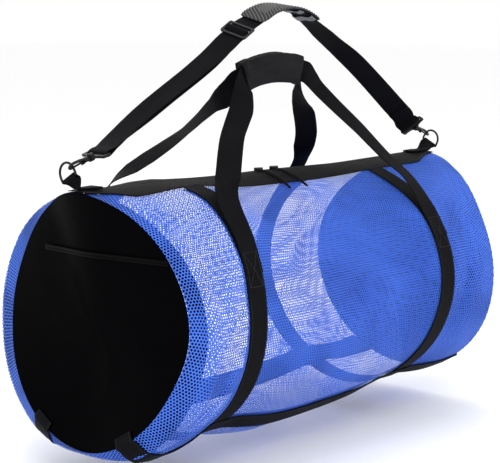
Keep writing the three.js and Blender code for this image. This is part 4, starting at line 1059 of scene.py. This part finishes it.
def pad_lift(share, mark):
    """Height over the strap's middle: ribs, the smooth patch, and edges that turn down."""
    reach = share * 25
    wave = 0.5 + 0.5 * np.sin(2 * math.pi * (mark + reach * SLANT) / RIB_PITCH)
    patch = 1 / (1 + np.exp(-(PATCH_HALF - np.abs(mark - PATCH_AT + reach * 0.5)) * 2))
    patch = patch / (1 + np.exp(-(PATCH_SHARE - np.abs(share)) * 50))
    rise = RIB_RISE * wave ** 0.6 * (1 - patch) + 1.7 * patch
    ends = np.clip(np.minimum(mark, marks.max() - mark) / 5, 0, 1) ** 0.5
    rim = 1 - np.abs(share) ** 26
    return PAD_HIGH + (rise * np.minimum(rim * 1.6, 1) - 1.2 * (1 - rim)) * ends - 1.0 * (1 - ends)


across = np.linspace(-1, 1, 45)
ends_in = 0.86 + 0.14 * np.clip(np.minimum(marks, marks.max() - marks) / 14, 0, 1) ** 0.5
place = lambda i, j: (centre[j] + half[j] * (across[i] * 25 * ends_in[j])[:, None]
                      + up[j] * pad_lift(across[i], marks[j])[:, None])
pad = grid("shoulder_pad_ribbed", len(across), len(marks), place, lambda i, j: np.stack([across[i] * 25, marks[j]], axis=1))
if sum(face.normal.z for face in pad.data.polygons) < 0:
    pad.data.flip_normals()
modify(pad, "SOLIDIFY", thickness=3.1 * MM, offset=-1.0)
rubber = hard("ribbed rubber", (0.014, 0.014, 0.014), (0.036, 0.036, 0.036), 0.5, 0.7, 0.3, 0.0003, fine_scale=1400.0)

# %% [markdown]
# The rubber's valleys are painted dark as shade, its rib crests pale as a painted highlight and its patch
# one plain grey. The same wave and the same patch as in the shape are worked out again from the UV map,
# which holds the place on the pad.

# %% Painted light and shade on the ribs
tree = rubber.node_tree
shader = tree.nodes["Principled BSDF"]
scuffed_base = shader.inputs["Base Color"].links[0].from_node
flat_place = tree.nodes.new("ShaderNodeSeparateXYZ")
tree.links.new(coordinates(tree, "UV"), flat_place.inputs[0])
aside, mark = flat_place.outputs[0], flat_place.outputs[1]
slanted = math_node(tree, "ADD", mark, math_node(tree, "MULTIPLY", aside, SLANT))
ribbed = math_node(tree, "SINE", math_node(tree, "MULTIPLY", slanted, TURN / (RIB_PITCH * MM)))
from_patch = math_node(tree, "ADD", mark, math_node(tree, "MULTIPLY", aside, 0.5))
from_patch = math_node(tree, "ABSOLUTE", math_node(tree, "SUBTRACT", from_patch, PATCH_AT * MM))
along_patch = ramp(tree, from_patch, (PATCH_HALF + 0.6) * MM, (PATCH_HALF - 0.6) * MM)
off_middle = math_node(tree, "ABSOLUTE", aside)
over_patch = ramp(tree, off_middle, (25 * PATCH_SHARE + 0.6) * MM, (25 * PATCH_SHARE - 0.6) * MM)
patch_mask = math_node(tree, "MULTIPLY", along_patch, over_patch)
# Painted shade in the rib valleys and a painted highlight on the rib crests.
painted_rib_highlight_and_shade = tint(tree, ramp(tree, ribbed, -0.2, 0.9), (0.0025, 0.0025, 0.003), (0.072, 0.070, 0.068))
# The smooth patch is painted one plain grey over the painted ribs.
wear_tone_and_painted_light = tint(tree, patch_mask, painted_rib_highlight_and_shade, (0.034, 0.036, 0.035))
tree.links.new(wear_tone_and_painted_light, scuffed_base.inputs["A"])
print("the patch is", 2 * PATCH_HALF, "mm long")
dress(pad, rubber, "shoulder_pad", smooth=50)

# %% [markdown]
# The grip is a padded sleeve wrapped round both handles and closed on itself. Its outside bulges and
# puckers. Sculpting could do that by hand, but a cloth simulation does it as the real cloth does: the
# sleeve is cut into small even faces, grows a few percent and is blown up a little. Its inside stays
# where it is, because the handles lie there, and no point moves further than 1.6 mm.

# %% Puffed sleeve
def puffed(piece, pressure, growth, cap):
    """Runs Cloth on a closed piece, then keeps the part of each move that stays outside and under the cap."""
    scene = bpy.context.scene
    count = len(piece.data.vertices)
    before, normals = np.zeros(count * 3), np.zeros(count * 3)
    piece.data.vertices.foreach_get("co", before)
    piece.data.vertices.foreach_get("normal", normals)
    cloth = only(piece).modifiers.new("cloth", "CLOTH")
    cloth.settings.quality = 6
    cloth.settings.mass = 0.2
    cloth.settings.bending_stiffness = 0.4
    cloth.settings.shrink_min = -growth
    cloth.settings.use_pressure = True
    cloth.settings.uniform_pressure_force = pressure
    cloth.settings.effector_weights.gravity = 0
    cloth.collision_settings.use_collision = False
    for number in range(1, 16):
        scene.frame_set(number)
    bpy.ops.object.modifier_apply(modifier=cloth.name)
    scene.frame_set(1)
    after = np.zeros(count * 3)
    piece.data.vertices.foreach_get("co", after)
    before, normals, after = (values.reshape(-1, 3) for values in (before, normals, after))
    order = np.argsort(before[:, 0])
    middle = np.zeros_like(before)
    middle[:, 0] = before[:, 0]
    window = max(1, count // 24)
    smooth_z = np.convolve(np.pad(before[order, 2], window, mode="edge"), np.ones(2 * window + 1) / (2 * window + 1), mode="valid")
    middle[order, 2] = smooth_z
    outside = np.clip(np.sum((before - middle) * normals, axis=1) / (2 * MM), 0, 1)[:, None]
    move = after - before
    far = np.linalg.norm(move, axis=1)[:, None]
    move *= np.minimum(1, cap * MM / np.maximum(far, 1e-9)) * outside
    piece.data.vertices.foreach_set("co", (before + move).ravel())
    piece.data.update()
    print(piece.name, "moved", round(float(np.linalg.norm(move, axis=1).max()) / MM, 2), "mm at most")


grip = copied("grip_sleeve", "grip_wrap")
modify(grip, "REMESH", mode="VOXEL", voxel_size=1.4 * MM)
puffed(grip, 3.0, 0.05, 1.6)
modify(grip, "SUBSURF", levels=1, render_levels=1)

# %% Grip cloth
felt, tree, shader = plain("grip cloth", (0.007, 0.007, 0.008), 0.75, specular=0.06)
made = place_group(tree, grain, coordinates(tree, "Object"), Fine=1100.0, Coarse=90.0)
tree.links.new(tint(tree, made.outputs["Grain"], (0.004, 0.004, 0.005), (0.011, 0.011, 0.012)), shader.inputs["Base Color"])
bump(tree, shader, made.outputs["Grain"], 0.0006, 0.6)
shader.inputs["Sheen Weight"].default_value = 0.05
dress(grip, felt, "grip_wrap", smooth=60)
